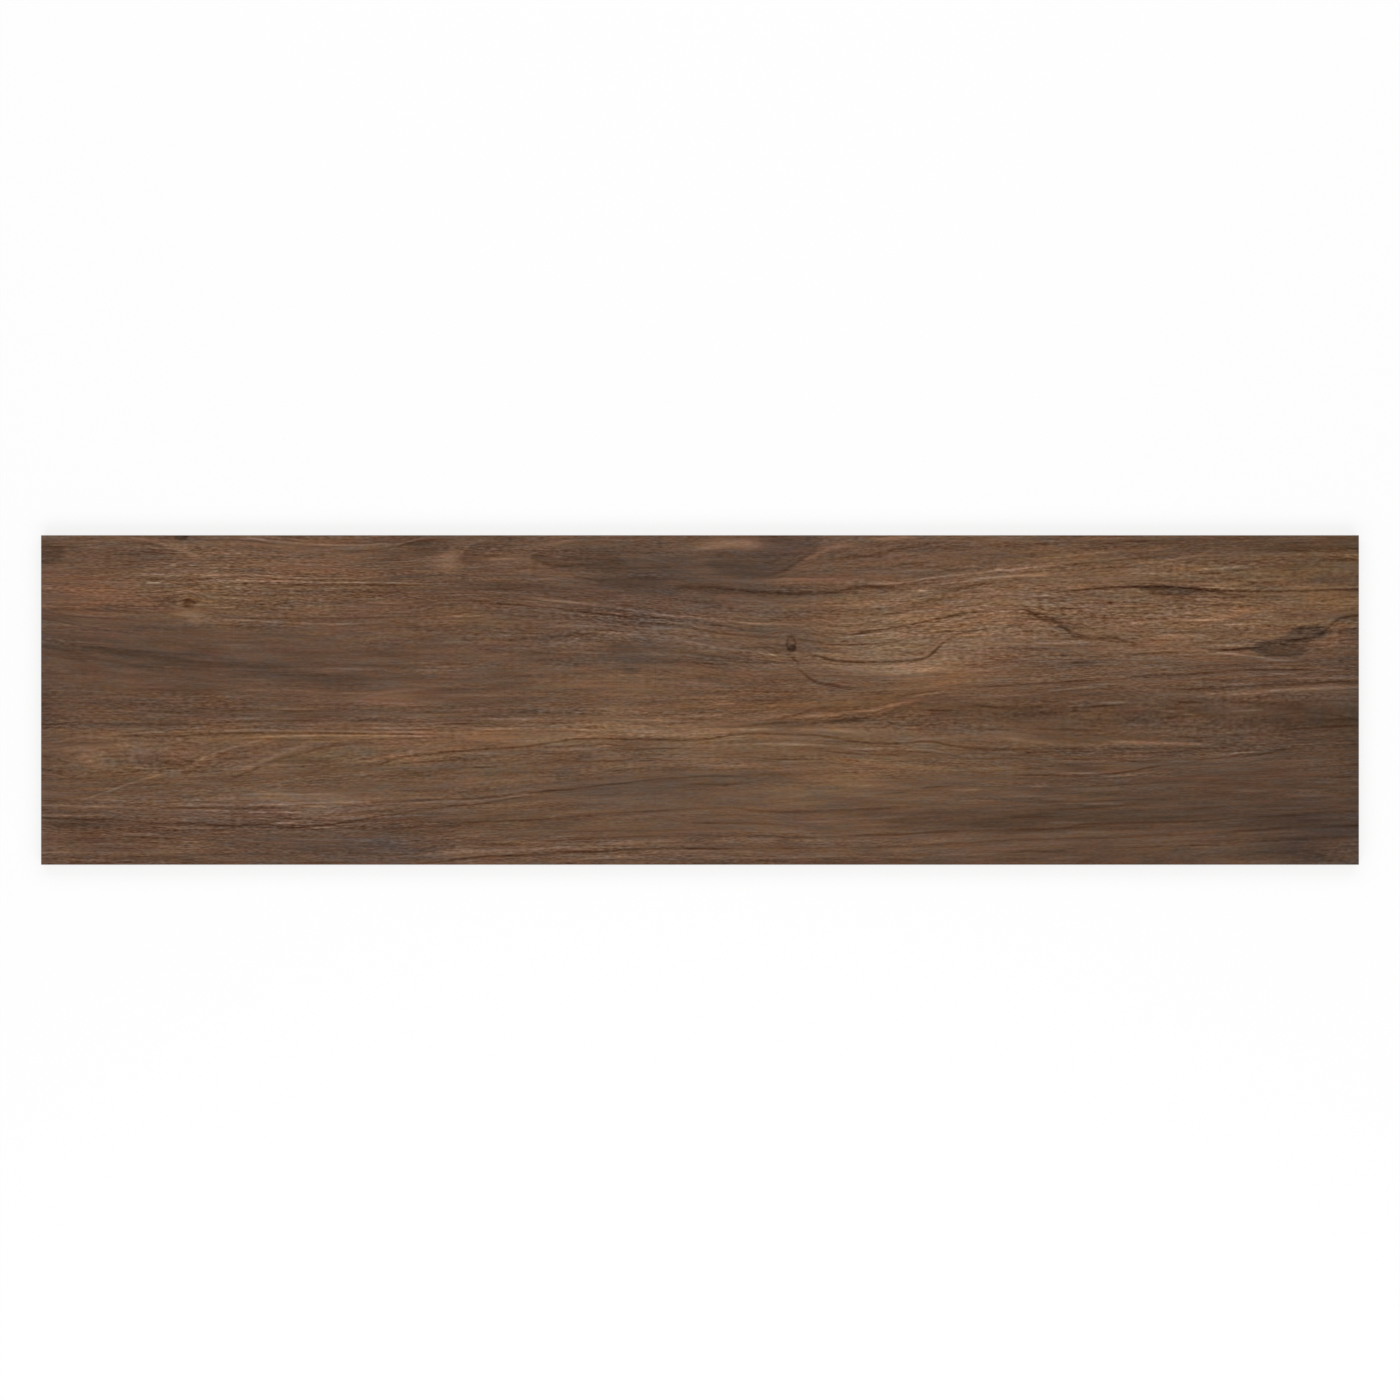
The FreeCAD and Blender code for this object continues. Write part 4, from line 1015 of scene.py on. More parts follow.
class NodeSheet:
    """A material's node tree, with short ways to add to it."""

    def __init__(self, name: str) -> None:
        """Starts an empty material.

        Args:
            name: The material's name.
        """
        self.material = bpy.data.materials.new(name)
        self.material.use_nodes = True
        self.tree = self.material.node_tree
        self.tree.nodes.clear()

    def add(self, kind: str, **settings: object) -> bpy.types.Node:
        """Adds a node.

        Args:
            kind: The node's type, without its ShaderNode prefix.
            **settings: Properties to set on it.

        Returns:
            The new node.
        """
        node = self.tree.nodes.new("ShaderNode" + kind)
        for name, value in settings.items():
            setattr(node, name, value)
        return node

    def feed(self, socket: Socket, value: object) -> None:
        """Links a socket to another, or sets its own value.

        Args:
            socket: The input.
            value: An output to link to it, or a plain value.
        """
        if isinstance(value, Socket):
            self.tree.links.new(value, socket)
        else:
            socket.default_value = value

    def fed(self, kind: str, values: tuple[object, ...], **settings: object) -> Socket:
        """Adds a node and feeds its first inputs.

        Args:
            kind: The node's type, without its ShaderNode prefix.
            values: What to feed it with.
            **settings: Properties to set on it.

        Returns:
            Its first output.
        """
        node = self.add(kind, **settings)
        for socket, value in zip(node.inputs, values):
            self.feed(socket, value)
        return node.outputs[0]

    def math(self, operation: str, *values: Value) -> Socket:
        """Works out a sum, by its name in the Math node."""
        return self.fed("Math", values, operation=operation)

    def vector(self, operation: str, *values: object) -> Socket:
        """Works out a sum on vectors or colours, by its name in the Vector Math node."""
        return self.fed("VectorMath", values, operation=operation)

    def join(self, *values: Value) -> Socket:
        """Puts a vector together from its first parts, of which those left out are zero."""
        return self.fed("CombineXYZ", values)

    def parts(self, value: Socket) -> list[Socket]:
        """Takes a vector apart into its three parts."""
        node = self.add("SeparateXYZ")
        self.feed(node.inputs[0], value)
        return list(node.outputs)

    def attribute(self, name: str) -> list[Socket]:
        """Reads the three parts of a field that the mesh carries."""
        return self.parts(self.add("Attribute", attribute_name=name).outputs["Vector"])

    def step(self, value: Socket, low: float, high: float) -> Socket:
        """Eases a value from 0 to 1 between two levels.

        Args:
            value: The value.
            low: Where it is still 0.
            high: Where it has become 1.

        Returns:
            The eased value.
        """
        node = self.add("MapRange", interpolation_type="SMOOTHSTEP")
        self.feed(node.inputs["Value"], value)
        node.inputs["From Min"].default_value = low
        node.inputs["From Max"].default_value = high
        return node.outputs["Result"]

    def ramp(self, value: Socket, stops: Sequence[tuple[float, Colour]], raw: bool = False) -> Socket:
        """Turns a value into a colour.

        Args:
            value: The value, from 0 to 1.
            stops: Places on the way from 0 to 1, each with its display colour.
            raw: Whether the colour stays a display colour.

        Returns:
            The colour.
        """
        node = self.add("ValToRGB")
        elements = node.color_ramp.elements
        while len(elements) < len(stops):
            elements.new(1.0)
        for element, (place, colour) in zip(elements, stops):
            element.position = place
            element.color = [level / 255.0 for level in colour] + [1.0] if raw else linear(colour)
        self.feed(node.inputs[0], value)
        return node.outputs[0]

    def fade(self, square: Socket, fall: float) -> Socket:
        """Fades from 1 to 0 as a squared distance grows, the faster the larger the fall."""
        return self.math("EXPONENT", self.math("MULTIPLY", square, -fall))

    def mix_in(self, noise: dict[str, Socket], gains: Gains, start: Value) -> Value:
        """Adds noise to a value.

        Args:
            noise: Noise by its name.
            gains: Names of the noise to add, each with what a unit of it adds.
            start: The value.

        Returns:
            The sum.
        """
        total = start
        for name, gain in gains:
            total = self.math("MULTIPLY_ADD", noise[name], gain, total)
        return total

    def to_linear(self, colour: Socket) -> Socket:
        """Turns a display colour into a linear one."""
        lifted = self.vector("MULTIPLY_ADD", colour, (1.0 / 1.055,) * 3, (0.055 / 1.055,) * 3)
        return self.join(*[self.math("POWER", channel, 2.4) for channel in self.parts(lifted)])

    def coat(self, sheen: Sheen, colour: Socket, height: Socket, cloud: Socket) -> bpy.types.Material:
        """Puts a matte coat with a fine relief on the material.

        Args:
            sheen: How it takes the light.
            colour: Its colour.
            height: Its relief.
            cloud: Noise that makes its gloss uneven.

        Returns:
            The finished material.
        """
        bump = self.add("Bump")
        bump.inputs["Strength"].default_value = sheen.relief
        bump.inputs["Distance"].default_value = sheen.relief_depth
        self.feed(bump.inputs["Height"], height)
        coat = self.add("BsdfPrincipled")
        self.feed(coat.inputs["Base Color"], colour)
        roughness = self.math("MULTIPLY_ADD", cloud, sheen.unevenness, sheen.roughness)
        self.feed(coat.inputs["Roughness"], roughness)
        coat.inputs["Specular IOR Level"].default_value = sheen.specular
        self.feed(coat.inputs["Normal"], bump.outputs[0])
        return self.finish(coat.outputs[0])

    def finish(self, surface: Socket) -> bpy.types.Material:
        """Puts a shader on the material and hands it over."""
        self.feed(self.add("OutputMaterial").inputs["Surface"], surface)
        return self.material


@dataclass(frozen=True)
class Noise:
    """Noise with a grain that may be stretched.

    Attributes:
        seed: Shifts it to another patch of noise.
        length: Its grain's length, in metres.
        width: Its grain's width, in metres, or beside a line in half widths of that line.
        detail: How many finer layers it has.
        roughness: How strong they are.
        height: Its grain's height, in metres, where it isn't flat.
    """

    seed: float
    length: float
    width: float
    detail: float = 0.0
    roughness: float = 0.5
    height: float = 1.0

    def read(self, sheet: NodeSheet, place: Socket, layer: int = 0) -> Socket:
        """Reads the noise in a node tree.

        Args:
            sheet: The node tree to add to.
            place: Where it is read.
            layer: Number of a layer that reads a patch of its own.

        Returns:
            The noise, about zero.
        """
        seed = self.seed + layer
        mapping = sheet.add("Mapping")
        sheet.feed(mapping.inputs["Vector"], place)
        mapping.inputs["Scale"].default_value = (1.0 / self.length, 1.0 / self.width, 1.0 / self.height)
        mapping.inputs["Location"].default_value = (seed * 7.3, seed * 3.1, seed)
        node = sheet.add("TexNoise")
        sheet.feed(node.inputs["Vector"], mapping.outputs[0])
        node.inputs["Scale"].default_value = 1.0
        node.inputs["Detail"].default_value = self.detail
        node.inputs["Roughness"].default_value = self.roughness
        return sheet.math("SUBTRACT", node.outputs[0], 0.5)


# Noise of the print: seed, length, width, finer layers, their strength
NOISES = {
    "band": Noise(1, 0.200, 0.012, 2),
    "streak": Noise(2, 0.045, 0.0036, 2, 0.6),
    "coarseness": Noise(12, 0.090, 0.008, 1),
    "thread": Noise(15, 0.040, 0.0012, 2, 0.6),
    "fibre": Noise(3, 0.016, 0.0012, 2, 0.6),
    "dash": Noise(4, 0.0036, 0.0009, 1),
    "pore": Noise(6, 0.007, 0.0009),
    "fleck": Noise(7, 0.010, 0.0009),
    "vein": Noise(10, 0.150, 0.006, 1),
    "vein_mask": Noise(11, 0.040, 0.010),
    "mottle": Noise(5, 0.034, 0.006, 2, 0.6),
    "tint": Noise(13, 0.012, 0.0034, 1),
    "yellow": Noise(14, 0.030, 0.005, 2, 0.6),
    "yellow_fleck": Noise(16, 0.007, 0.002, 1),
    "ragged": Noise(8, 0.022, 0.001, 1),
}
LINE_BREAKS = Noise(40, 0.016, 3.0, 2, 0.6)
LINE_ECHO = Noise(20, 0.080, 1.7, 1)


@dataclass
class WalnutPrint:
    """The printed matte glaze.

    Attributes:
        knots: Knots to draw, with their places on the plank.
        palette: Grey levels of the print, each with its colour.
        mean_level: Grey level that the fields' tones are counted from.
        least_light: Darkest that a colour channel may print, as a share of white.
        red_shift: What a unit of warmth adds to each colour channel, as a share of it.
        olive_shift: What a unit of coolness takes from each colour channel.
        gold_shift: What a unit of gold adds to each colour channel.
        tone_gains: Noise in the broad tone, with the grey levels that a unit of it adds.
        fine_gains: The same for the fine tone.
        warmth_gains: Noise in the warmth.
        gold_gains: Noise in the gold.
        pore_edge: Where in its noise a pore starts and is full.
        fleck_edge: The same for a pale fleck.
        coarseness: Middle and least strength of the fine tone.
        coarseness_gains: What a unit of its noise and of the figure's grit add to that strength.
        vein_width: How near zero the veins' noise is where a vein starts.
        vein_edge: Where in their mask's noise veins start to show and are full.
        vein_tone: Grey levels that a vein adds.
        line_fray: How far noise frays a line, in half widths.
        halo_share: How much of a line's tone is taken back from the fringe beside it.
        halo_fall: How fast that fringe fades.
        break_gain: How strongly noise breaks a line up.
        break_least: Least that stays of a line.
        echo_gain: How strongly fainter lines follow beside a line.
        echo_fall: How fast they fade.
        shape_fray: How far noise frays a zone with a clear edge, in feathers.
        knot_fray: How far noise frays a knot, in radii.
        knot_edge: Where, in radii, a knot's heart starts and is full.
        knot_ring: How narrow the ring round the heart is.
        sheen: How the glaze takes the light.
        sheet: Its node tree.
        noise: Noise of the print in that tree, by its name.
    """

    knots: tuple[GrainKnot, ...]
    palette: tuple[tuple[float, Colour], ...] = (
        (40, (51.3, 32.6, 20.9)),
        (60, (74.3, 52.6, 36.9)),
        (82, (98.8, 73.1, 55.4)),
        (103, (123.3, 95.1, 73.4)),
        (130, (151.8, 122.6, 98.4)),
    )
    mean_level: float = 88.5
    least_light: float = 0.03
    red_shift: Colour = (0.09, -0.024, -0.063)
    olive_shift: Colour = (0.095, -0.02, -0.15)
    gold_shift: Colour = (0.03, 0.012, -0.11)
    tone_gains: Gains = (("band", 14.0), ("streak", 45.0))
    fine_gains: Gains = (
        ("thread", 42.0), ("fibre", 34.0), ("dash", 66.0), ("pore", -12.0), ("fleck", 10.0),
    )
    warmth_gains: Gains = (("mottle", 3.4), ("tint", 3.0))
    gold_gains: Gains = (("yellow", 3.6), ("yellow_fleck", 2.6))
    pore_edge: Point = (0.12, 0.26)
    fleck_edge: Point = (0.14, 0.28)
    coarseness: Point = (0.85, 0.35)
    coarseness_gains: Point = (2.0, 1.1)
    vein_width: float = 0.014
    vein_edge: Point = (-0.02, 0.12)
    vein_tone: float = -12.0
    line_fray: float = 0.9
    halo_share: float = 0.25
    halo_fall: float = 0.14
    break_gain: float = 2.4
    break_least: float = 0.15
    echo_gain: float = 0.9
    echo_fall: float = 0.035
    shape_fray: float = 4.0
    knot_fray: float = 1.2
    knot_edge: Point = (1.15, 0.55)
    knot_ring: float = 3.2
    sheen: Sheen = Sheen(0.4, 0.15 * MM, 0.62, 0.25, 0.12)
    sheet: NodeSheet = field(init=False)
    noise: dict[str, Socket] = field(init=False)

    def material(self) -> bpy.types.Material:
        """Builds the print from the fields that the mesh carries and from noise that follows its grain.

        Returns:
            The material.
        """
        sheet = self.sheet = NodeSheet("walnut_print")
        flow = sheet.add("UVMap", uv_map=GRAIN_MAP).outputs[0]
        noise = self.noise = {name: layer.read(sheet, flow) for name, layer in NOISES.items()}
        noise["pore"] = sheet.step(noise["pore"], *self.pore_edge)
        noise["fleck"] = sheet.step(noise["fleck"], *self.fleck_edge)
        tone, warmth, gold = sheet.attribute(PAINT)
        tone = sheet.mix_in(noise, self.tone_gains, tone)
        warmth = sheet.mix_in(noise, self.warmth_gains, warmth)
        gold = sheet.mix_in(noise, self.gold_gains, gold)
        fine = self.fine_tone()
        run = sheet.parts(flow)[0]
        for layer in range(len(LINE_LAYERS)):
            fine, warmth = self.draw_lines(layer, run, fine, warmth)
        for knot in self.knots:
            fine = sheet.math("ADD", fine, self.knot_tone(knot))
        depth, shape_tone, shape_warmth = sheet.attribute(SHAPES_LAYER)
        depth = sheet.math("MULTIPLY_ADD", noise["ragged"], self.shape_fray, depth)
        inside = sheet.step(depth, -1.0, 1.0)
        tone = sheet.math("MULTIPLY_ADD", inside, shape_tone, tone)
        warmth = sheet.math("MULTIPLY_ADD", inside, shape_warmth, warmth)
        height = sheet.math("SUBTRACT", sheet.math("ADD", noise["fibre"], noise["thread"]), noise["pore"])
        return sheet.coat(self.sheen, self.colour(tone, fine, warmth, gold), height, noise["streak"])

    def fine_tone(self) -> Socket:
        """Adds up fibres, pores and flecks, stronger where the figure is gritty, and thin veins.

        Returns:
            The grey levels that they add.
        """
        sheet, noise = self.sheet, self.noise
        middle, least = self.coarseness
        noise_gain, grit_gain = self.coarseness_gains
        coarse = sheet.math("MULTIPLY_ADD", noise["coarseness"], noise_gain, middle)
        coarse = sheet.math("MULTIPLY_ADD", sheet.attribute(GRIT)[0], grit_gain, coarse)
        coarse = sheet.math("MAXIMUM", coarse, least)
        fine = sheet.math("MULTIPLY", sheet.mix_in(noise, self.fine_gains, 0.0), coarse)
        vein = sheet.step(sheet.math("ABSOLUTE", noise["vein"]), self.vein_width, 0.0)
        vein = sheet.math("MULTIPLY", vein, sheet.step(noise["vein_mask"], *self.vein_edge))
        return sheet.math("MULTIPLY_ADD", vein, self.vein_tone, fine)

    def draw_lines(self, layer: int, run: Socket, fine: Socket, warmth: Socket) -> tuple[Socket, Socket]:
        """Draws one layer of the figure's lines, frayed and broken up, with faint ones beside them.

        Args:
            layer: The layer's number.
            run: Places along the fibres.
            fine: Fine tone without the lines.
            warmth: Warmth without them.

        Returns:
            Fine tone and warmth with them.
        """
        sheet = self.sheet
        offset, line_tone, line_warmth = sheet.attribute(LINE_LAYERS[layer])
        offset = sheet.math("MULTIPLY_ADD", self.noise["ragged"], self.line_fray, offset)
        beside = sheet.join(run, offset)
        square = sheet.math("MULTIPLY", offset, offset)
        core = sheet.fade(square, 1.0)
        weight = sheet.math("MULTIPLY", core, 1.0 + self.halo_share)
        weight = sheet.math("MULTIPLY_ADD", sheet.fade(square, self.halo_fall), -self.halo_share, weight)
        breaks = sheet.math("MULTIPLY_ADD", LINE_BREAKS.read(sheet, beside, layer), self.break_gain, 1.0)
        weight = sheet.math("MULTIPLY", weight, sheet.math("MAXIMUM", breaks, self.break_least))
        fine = sheet.math("MULTIPLY_ADD", weight, line_tone, fine)
        warmth = sheet.math("MULTIPLY_ADD", core, line_warmth, warmth)
        near = sheet.math("SUBTRACT", sheet.fade(square, self.echo_fall), core)
        near = sheet.math("MULTIPLY", near, sheet.math("ABSOLUTE", line_tone))
        echo = sheet.math("MULTIPLY", LINE_ECHO.read(sheet, beside, layer), near)
        return sheet.math("MULTIPLY_ADD", echo, self.echo_gain, fine), warmth

    def knot_tone(self, knot: GrainKnot) -> Socket:
        """Draws a knot's heart and the ring round it.

        Args:
            knot: The knot.

        Returns:
            The grey levels that it adds.
        """
        sheet = self.sheet
        place = sheet.add("TexCoord").outputs["Object"]
        middle = ((knot.along - PLANK_LENGTH / 2) * MM, (PLANK_WIDTH / 2 - knot.down) * MM, 0.0)
        sizes = (1.0 / (knot.radii[0] * MM), 1.0 / (knot.radii[1] * MM), 0.0)
        off = sheet.vector("MULTIPLY", sheet.vector("SUBTRACT", place, middle), sizes)
        off_along, off_across, _ = sheet.parts(off)
        square = sheet.math("MULTIPLY", off_across, off_across)
        square = sheet.math("MULTIPLY_ADD", off_along, off_along, square)
        radius = sheet.math("SQRT", square)
        radius = sheet.math("MULTIPLY_ADD", self.noise["ragged"], self.knot_fray, radius)
        heart = sheet.math("MULTIPLY", sheet.step(radius, *self.knot_edge), knot.heart)
        ring = sheet.math("MULTIPLY", sheet.math("SUBTRACT", radius, 1.0), self.knot_ring)
        ring = sheet.fade(sheet.math("MULTIPLY", ring, ring), 1.0)
        return sheet.math("MULTIPLY_ADD", ring, knot.rim, heart)

    def colour(self, tone: Socket, fine: Socket, warmth: Socket, gold: Socket) -> Socket:
        """Turns the print's levels into its colour.

        Args:
            tone: Broad tone, which the palette colours.
            fine: Fine tone, which is added to that.
            warmth: Shift to red, or where it is below zero to olive.
            gold: Shift to gold.

        Returns:
            The colour.
        """
        sheet = self.sheet
        low = self.palette[0][0]
        span = self.palette[-1][0] - low
        share = sheet.math("MULTIPLY_ADD", tone, 1.0 / span, (self.mean_level - low) / span)
        stops = [((level - low) / span, shade) for level, shade in self.palette]
        grey = sheet.math("MULTIPLY", fine, 1.0 / 255.0)
        colour = sheet.vector("ADD", sheet.ramp(share, stops, raw=True), sheet.join(grey, grey, grey))
        colour = sheet.to_linear(sheet.vector("MAXIMUM", colour, (self.least_light,) * 3))
        shift = (1.0, 1.0, 1.0)
        for value, full_shift in (
            (sheet.math("MAXIMUM", warmth, 0.0), self.red_shift),
            (sheet.math("MINIMUM", warmth, 0.0), self.olive_shift),
            (gold, self.gold_shift),
        ):
            shift = sheet.vector("MULTIPLY_ADD", value, full_shift, shift)
        return sheet.vector("MULTIPLY", colour, shift)


@dataclass(frozen=True)
class FiredBody:
    """The bare porcelain of the edges and the back.

    Attributes:
        shades: Its darkest, middle and palest display colours, each with its place on the way.
        grain: Noise of its grains.
        cloud: Noise of its clouds.
        grain_gain: How far the grains shift its shade.
        cloud_gain: How far the clouds do.
        sheen: How it takes the light.
    """

    shades: tuple[tuple[float, Colour], ...] = (
        (0.1, (128, 111, 95)),
        (0.5, (150, 132, 114)),
        (0.9, (170, 153, 134)),
    )
    grain: Noise = Noise(1, 0.0006, 0.0006, 2, 0.7, 0.0006)
    cloud: Noise = Noise(2, 0.045, 0.045, 2, 0.5, 0.045)
    grain_gain: float = 0.9
    cloud_gain: float = 0.7
    sheen: Sheen = Sheen(0.3, 0.1 * MM, 0.8, 0.2, 0.2)

    def material(self) -> bpy.types.Material:
        """Builds a fine-grained, faintly clouded body.

        Returns:
            The material.
        """
        sheet = NodeSheet("fired_body")
        place = sheet.add("TexCoord").outputs["Object"]
        grain = self.grain.read(sheet, place)
        shade = sheet.math("MULTIPLY_ADD", grain, self.grain_gain, 0.5)
        shade = sheet.math("MULTIPLY_ADD", self.cloud.read(sheet, place), self.cloud_gain, shade)
        return sheet.coat(self.sheen, sheet.ramp(shade, self.shades), grain, grain)


class Finish(Enum):
    """The plank's finishes, by their material slot."""

    PRINT = 0
    BODY = 1


def select_only(piece: bpy.types.Object) -> None:
    """Selects one piece and makes it active.

    Args:
        piece: The piece.
    """
    bpy.ops.object.select_all(action="DESELECT")
    piece.select_set(True)
    bpy.context.view_layer.objects.active = piece


def apply_place(piece: bpy.types.Object) -> None:
    """Puts a piece's place, turn and scale into its mesh."""
    select_only(piece)
    bpy.ops.object.transform_apply(location=True, rotation=True, scale=True)


@dataclass
class PlankTile:
    """The fired plank: printed face, ground edges and keyed back. Sizes in metres.

    Attributes:
        figure: The figure that its face is printed with.
        face_arris: Leg of the bevel round the face.
        back_arris: Leg of the bevel round the back.
        key_depth: Depth of a pocket in the back.
        key_draft: How far a pocket's wall leans in.
        key_corner: Leg cut off a pocket's corner.
        key_rib: Rib left between two pockets.
        key_band: Plain band round the pockets.
        key_pitch: Pitch that the pockets aim at.
        cells: Cells of the face along and across.
        relief_depth: Deepest the grain is pressed in.
        crease: Angle in degrees from which an edge stays sharp.
        size: The plank's length, width and thickness.
        plank: The piece itself.
    """

    figure: WoodFigure
    face_arris: float = 0.5 * MM
    back_arris: float = 1.0 * MM
    key_depth: float = 0.7 * MM
    key_draft: float = 0.7 * MM
    key_corner: float = 4.0 * MM
    key_rib: float = 4.0 * MM
    key_band: float = 9.0 * MM
    key_pitch: float = 30.0 * MM
    cells: tuple[int, int] = (340, 236)
    relief_depth: float = 0.25 * MM
    crease: float = 25.0
    size: np.ndarray = field(init=False)
    plank: bpy.types.Object = field(init=False)

    def __post_init__(self) -> None:
        """Takes the plank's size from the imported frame."""
        low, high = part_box(NODE)
        self.size = np.array(high) - np.array(low)

    def build(self) -> bpy.types.Object:
        """Models, dresses and seats the plank.

        Returns:
            The finished piece.
        """
        face = self.model_face()
        back = self.model_back()
        plank = self.plank = self.close_up(face, back)
        self.map_grain()
        self.map_bake()
        self.press_relief()
        self.dress()
        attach(plank, BODY)
        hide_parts(NODE)
        return plank

    def model_face(self) -> bpy.types.Object:
        """Models the face as a fine grid and draws its rim out into the edges.

        Returns:
            The face with the ground edges, open at the back.
        """
        length, width, thickness = self.size
        along, across = self.cells
        bpy.ops.object.select_all(action="DESELECT")
        bpy.ops.mesh.primitive_grid_add(
            x_subdivisions=along, y_subdivisions=across, size=1.0, location=(0.0, 0.0, thickness)
        )
        face = bpy.context.object
        face.name = "porcelain_plank"
        face.scale = (length - 2 * self.face_arris, width - 2 * self.face_arris, 1.0)
        apply_place(face)
        bpy.ops.object.mode_set(mode="EDIT")
        self.select_rim()
        self.draw_out(-self.face_arris, self.face_arris)
        self.draw_out(self.face_arris + self.back_arris - thickness, 0.0)
        self.draw_out(-self.back_arris, -self.back_arris)
        bpy.ops.object.mode_set(mode="OBJECT")
        return face

    def select_rim(self) -> None:
        """Selects the open edges of the mesh that is being edited."""
        bpy.ops.mesh.select_mode(type="EDGE")
        bpy.ops.mesh.select_all(action="DESELECT")
        bpy.ops.mesh.select_non_manifold()

    def draw_out(self, rise: float, spread: float) -> None:
        """Extrudes the selected rim.

        Args:
            rise: How far up it goes.
            spread: How far out it goes on each side.
        """
        bpy.ops.mesh.extrude_region_move(TRANSFORM_OT_translate={"value": (0.0, 0.0, rise)})
        if spread:
            length, width, _ = self.size
            start = -2 * max(spread, 0.0)
            grown = [(side + start + 2 * spread) / (side + start) for side in (length, width)]
            bpy.ops.transform.resize(value=(grown[0], grown[1], 1.0), center_override=(0.0, 0.0, 0.0))

    def pocket_count(self, side: float) -> tuple[int, float]:
        """Shares a side of the back into whole pockets.

        Args:
            side: The plank's length or width.

        Returns:
            How many pockets fit, and their pitch.
        """
        field_size = side - 2 * (self.back_arris + self.key_band) + self.key_rib
        count = max(1, round(field_size / self.key_pitch))
        return count, field_size / count

    def model_back(self) -> bpy.types.Object:
        """Models the waffle of drafted pockets that keys the back into its bed.

        Returns:
            The field of pockets, open round its rim.
        """
        length, width, _ = self.size
        count_along, pitch_along = self.pocket_count(length)
        count_across, pitch_across = self.pocket_count(width)
        bpy.ops.object.select_all(action="DESELECT")
        bpy.ops.mesh.primitive_grid_add(
            x_subdivisions=count_along, y_subdivisions=count_across, size=1.0, rotation=(math.pi, 0.0, 0.0)
        )
        back = bpy.context.object
        back.scale = (count_along * pitch_along, count_across * pitch_across, 1.0)
        apply_place(back)
        bpy.ops.object.mode_set(mode="EDIT")
        bpy.ops.mesh.select_mode(type="FACE")
        bpy.ops.mesh.select_all(action="SELECT")
        bpy.ops.mesh.inset(thickness=self.key_rib / 2, depth=0.0, use_individual=True)
        bpy.ops.mesh.bevel(offset=self.key_corner, offset_type="OFFSET", affect="VERTICES", segments=1)
        self.select_pockets(back)
        bpy.ops.mesh.inset(thickness=self.key_draft, depth=-self.key_depth, use_individual=True)
        bpy.ops.object.mode_set(mode="OBJECT")
        return back

    def select_pockets(self, back: bpy.types.Object) -> None:
        """Selects the eight-sided pocket mouths of the back that is being edited.

        Args:
            back: The back.
        """
        mouth_corners = 8
        bpy.ops.mesh.select_all(action="DESELECT")
        bpy.ops.object.mode_set(mode="OBJECT")
        for polygon in back.data.polygons:
            polygon.select = len(polygon.vertices) == mouth_corners
        bpy.ops.object.mode_set(mode="EDIT")

    def close_up(self, face: bpy.types.Object, back: bpy.types.Object) -> bpy.types.Object:
        """Joins the face and the back into one closed skin.

        Args:
            face: The face with its edges.
            back: The field of pockets.

        Returns:
            The plank.
        """
        select_only(face)
        back.select_set(True)
        bpy.ops.object.join()
        bpy.ops.object.mode_set(mode="EDIT")
        self.select_rim()
        bpy.ops.mesh.fill(use_beauty=True)
        bpy.ops.mesh.select_all(action="SELECT")
        bpy.ops.mesh.normals_make_consistent(inside=False)
        bpy.ops.object.mode_set(mode="OBJECT")
        return face

    def places(self) -> tuple[np.ndarray, np.ndarray, np.ndarray]:
        """Reads where the plank's points are.

        Returns:
            Each point's millimetres from the left end and from the far edge, and its coordinates in metres.
        """
        vertices = self.plank.data.vertices
        points = np.empty(len(vertices) * 3)
        vertices.foreach_get("co", points)
        points = points.reshape(-1, 3)
        along = (points[:, 0] + self.size[0] / 2) / MM
        down = (self.size[1] / 2 - points[:, 1]) / MM
        return along, down, points

    def corner_points(self) -> np.ndarray:
        """Reads which point each face corner uses, by its index."""
        corners = np.empty(len(self.plank.data.loops), dtype=np.int32)
        self.plank.data.loops.foreach_get("vertex_index", corners)
        return corners

    def map_grain(self) -> None:
        """Lays the fibres' own map and the figure's fields on the plank."""
        along, down, _ = self.places()
        down = self.figure.traced(down)
        flow = np.stack([along, self.figure.fibre_level(along, down)], axis=1) * MM
        grain = self.plank.data.uv_layers.new(name=GRAIN_MAP)
        grain.data.foreach_set("uv", flow[self.corner_points()].ravel())
        fields = dict(zip(LINE_LAYERS, self.figure.line_layers(along, down)))
        paint = self.figure.paint(along, down)
        fields[PAINT] = paint[:, :3]
        fields[GRIT] = paint[:, 3:] * np.ones(3)
        fields[SHAPES_LAYER] = self.figure.shape_layer(along, down)
        for name, values in fields.items():
            attribute = self.plank.data.attributes.new(name, "FLOAT_VECTOR", "POINT")
            attribute.data.foreach_set("vector", values.astype(np.float32).ravel())

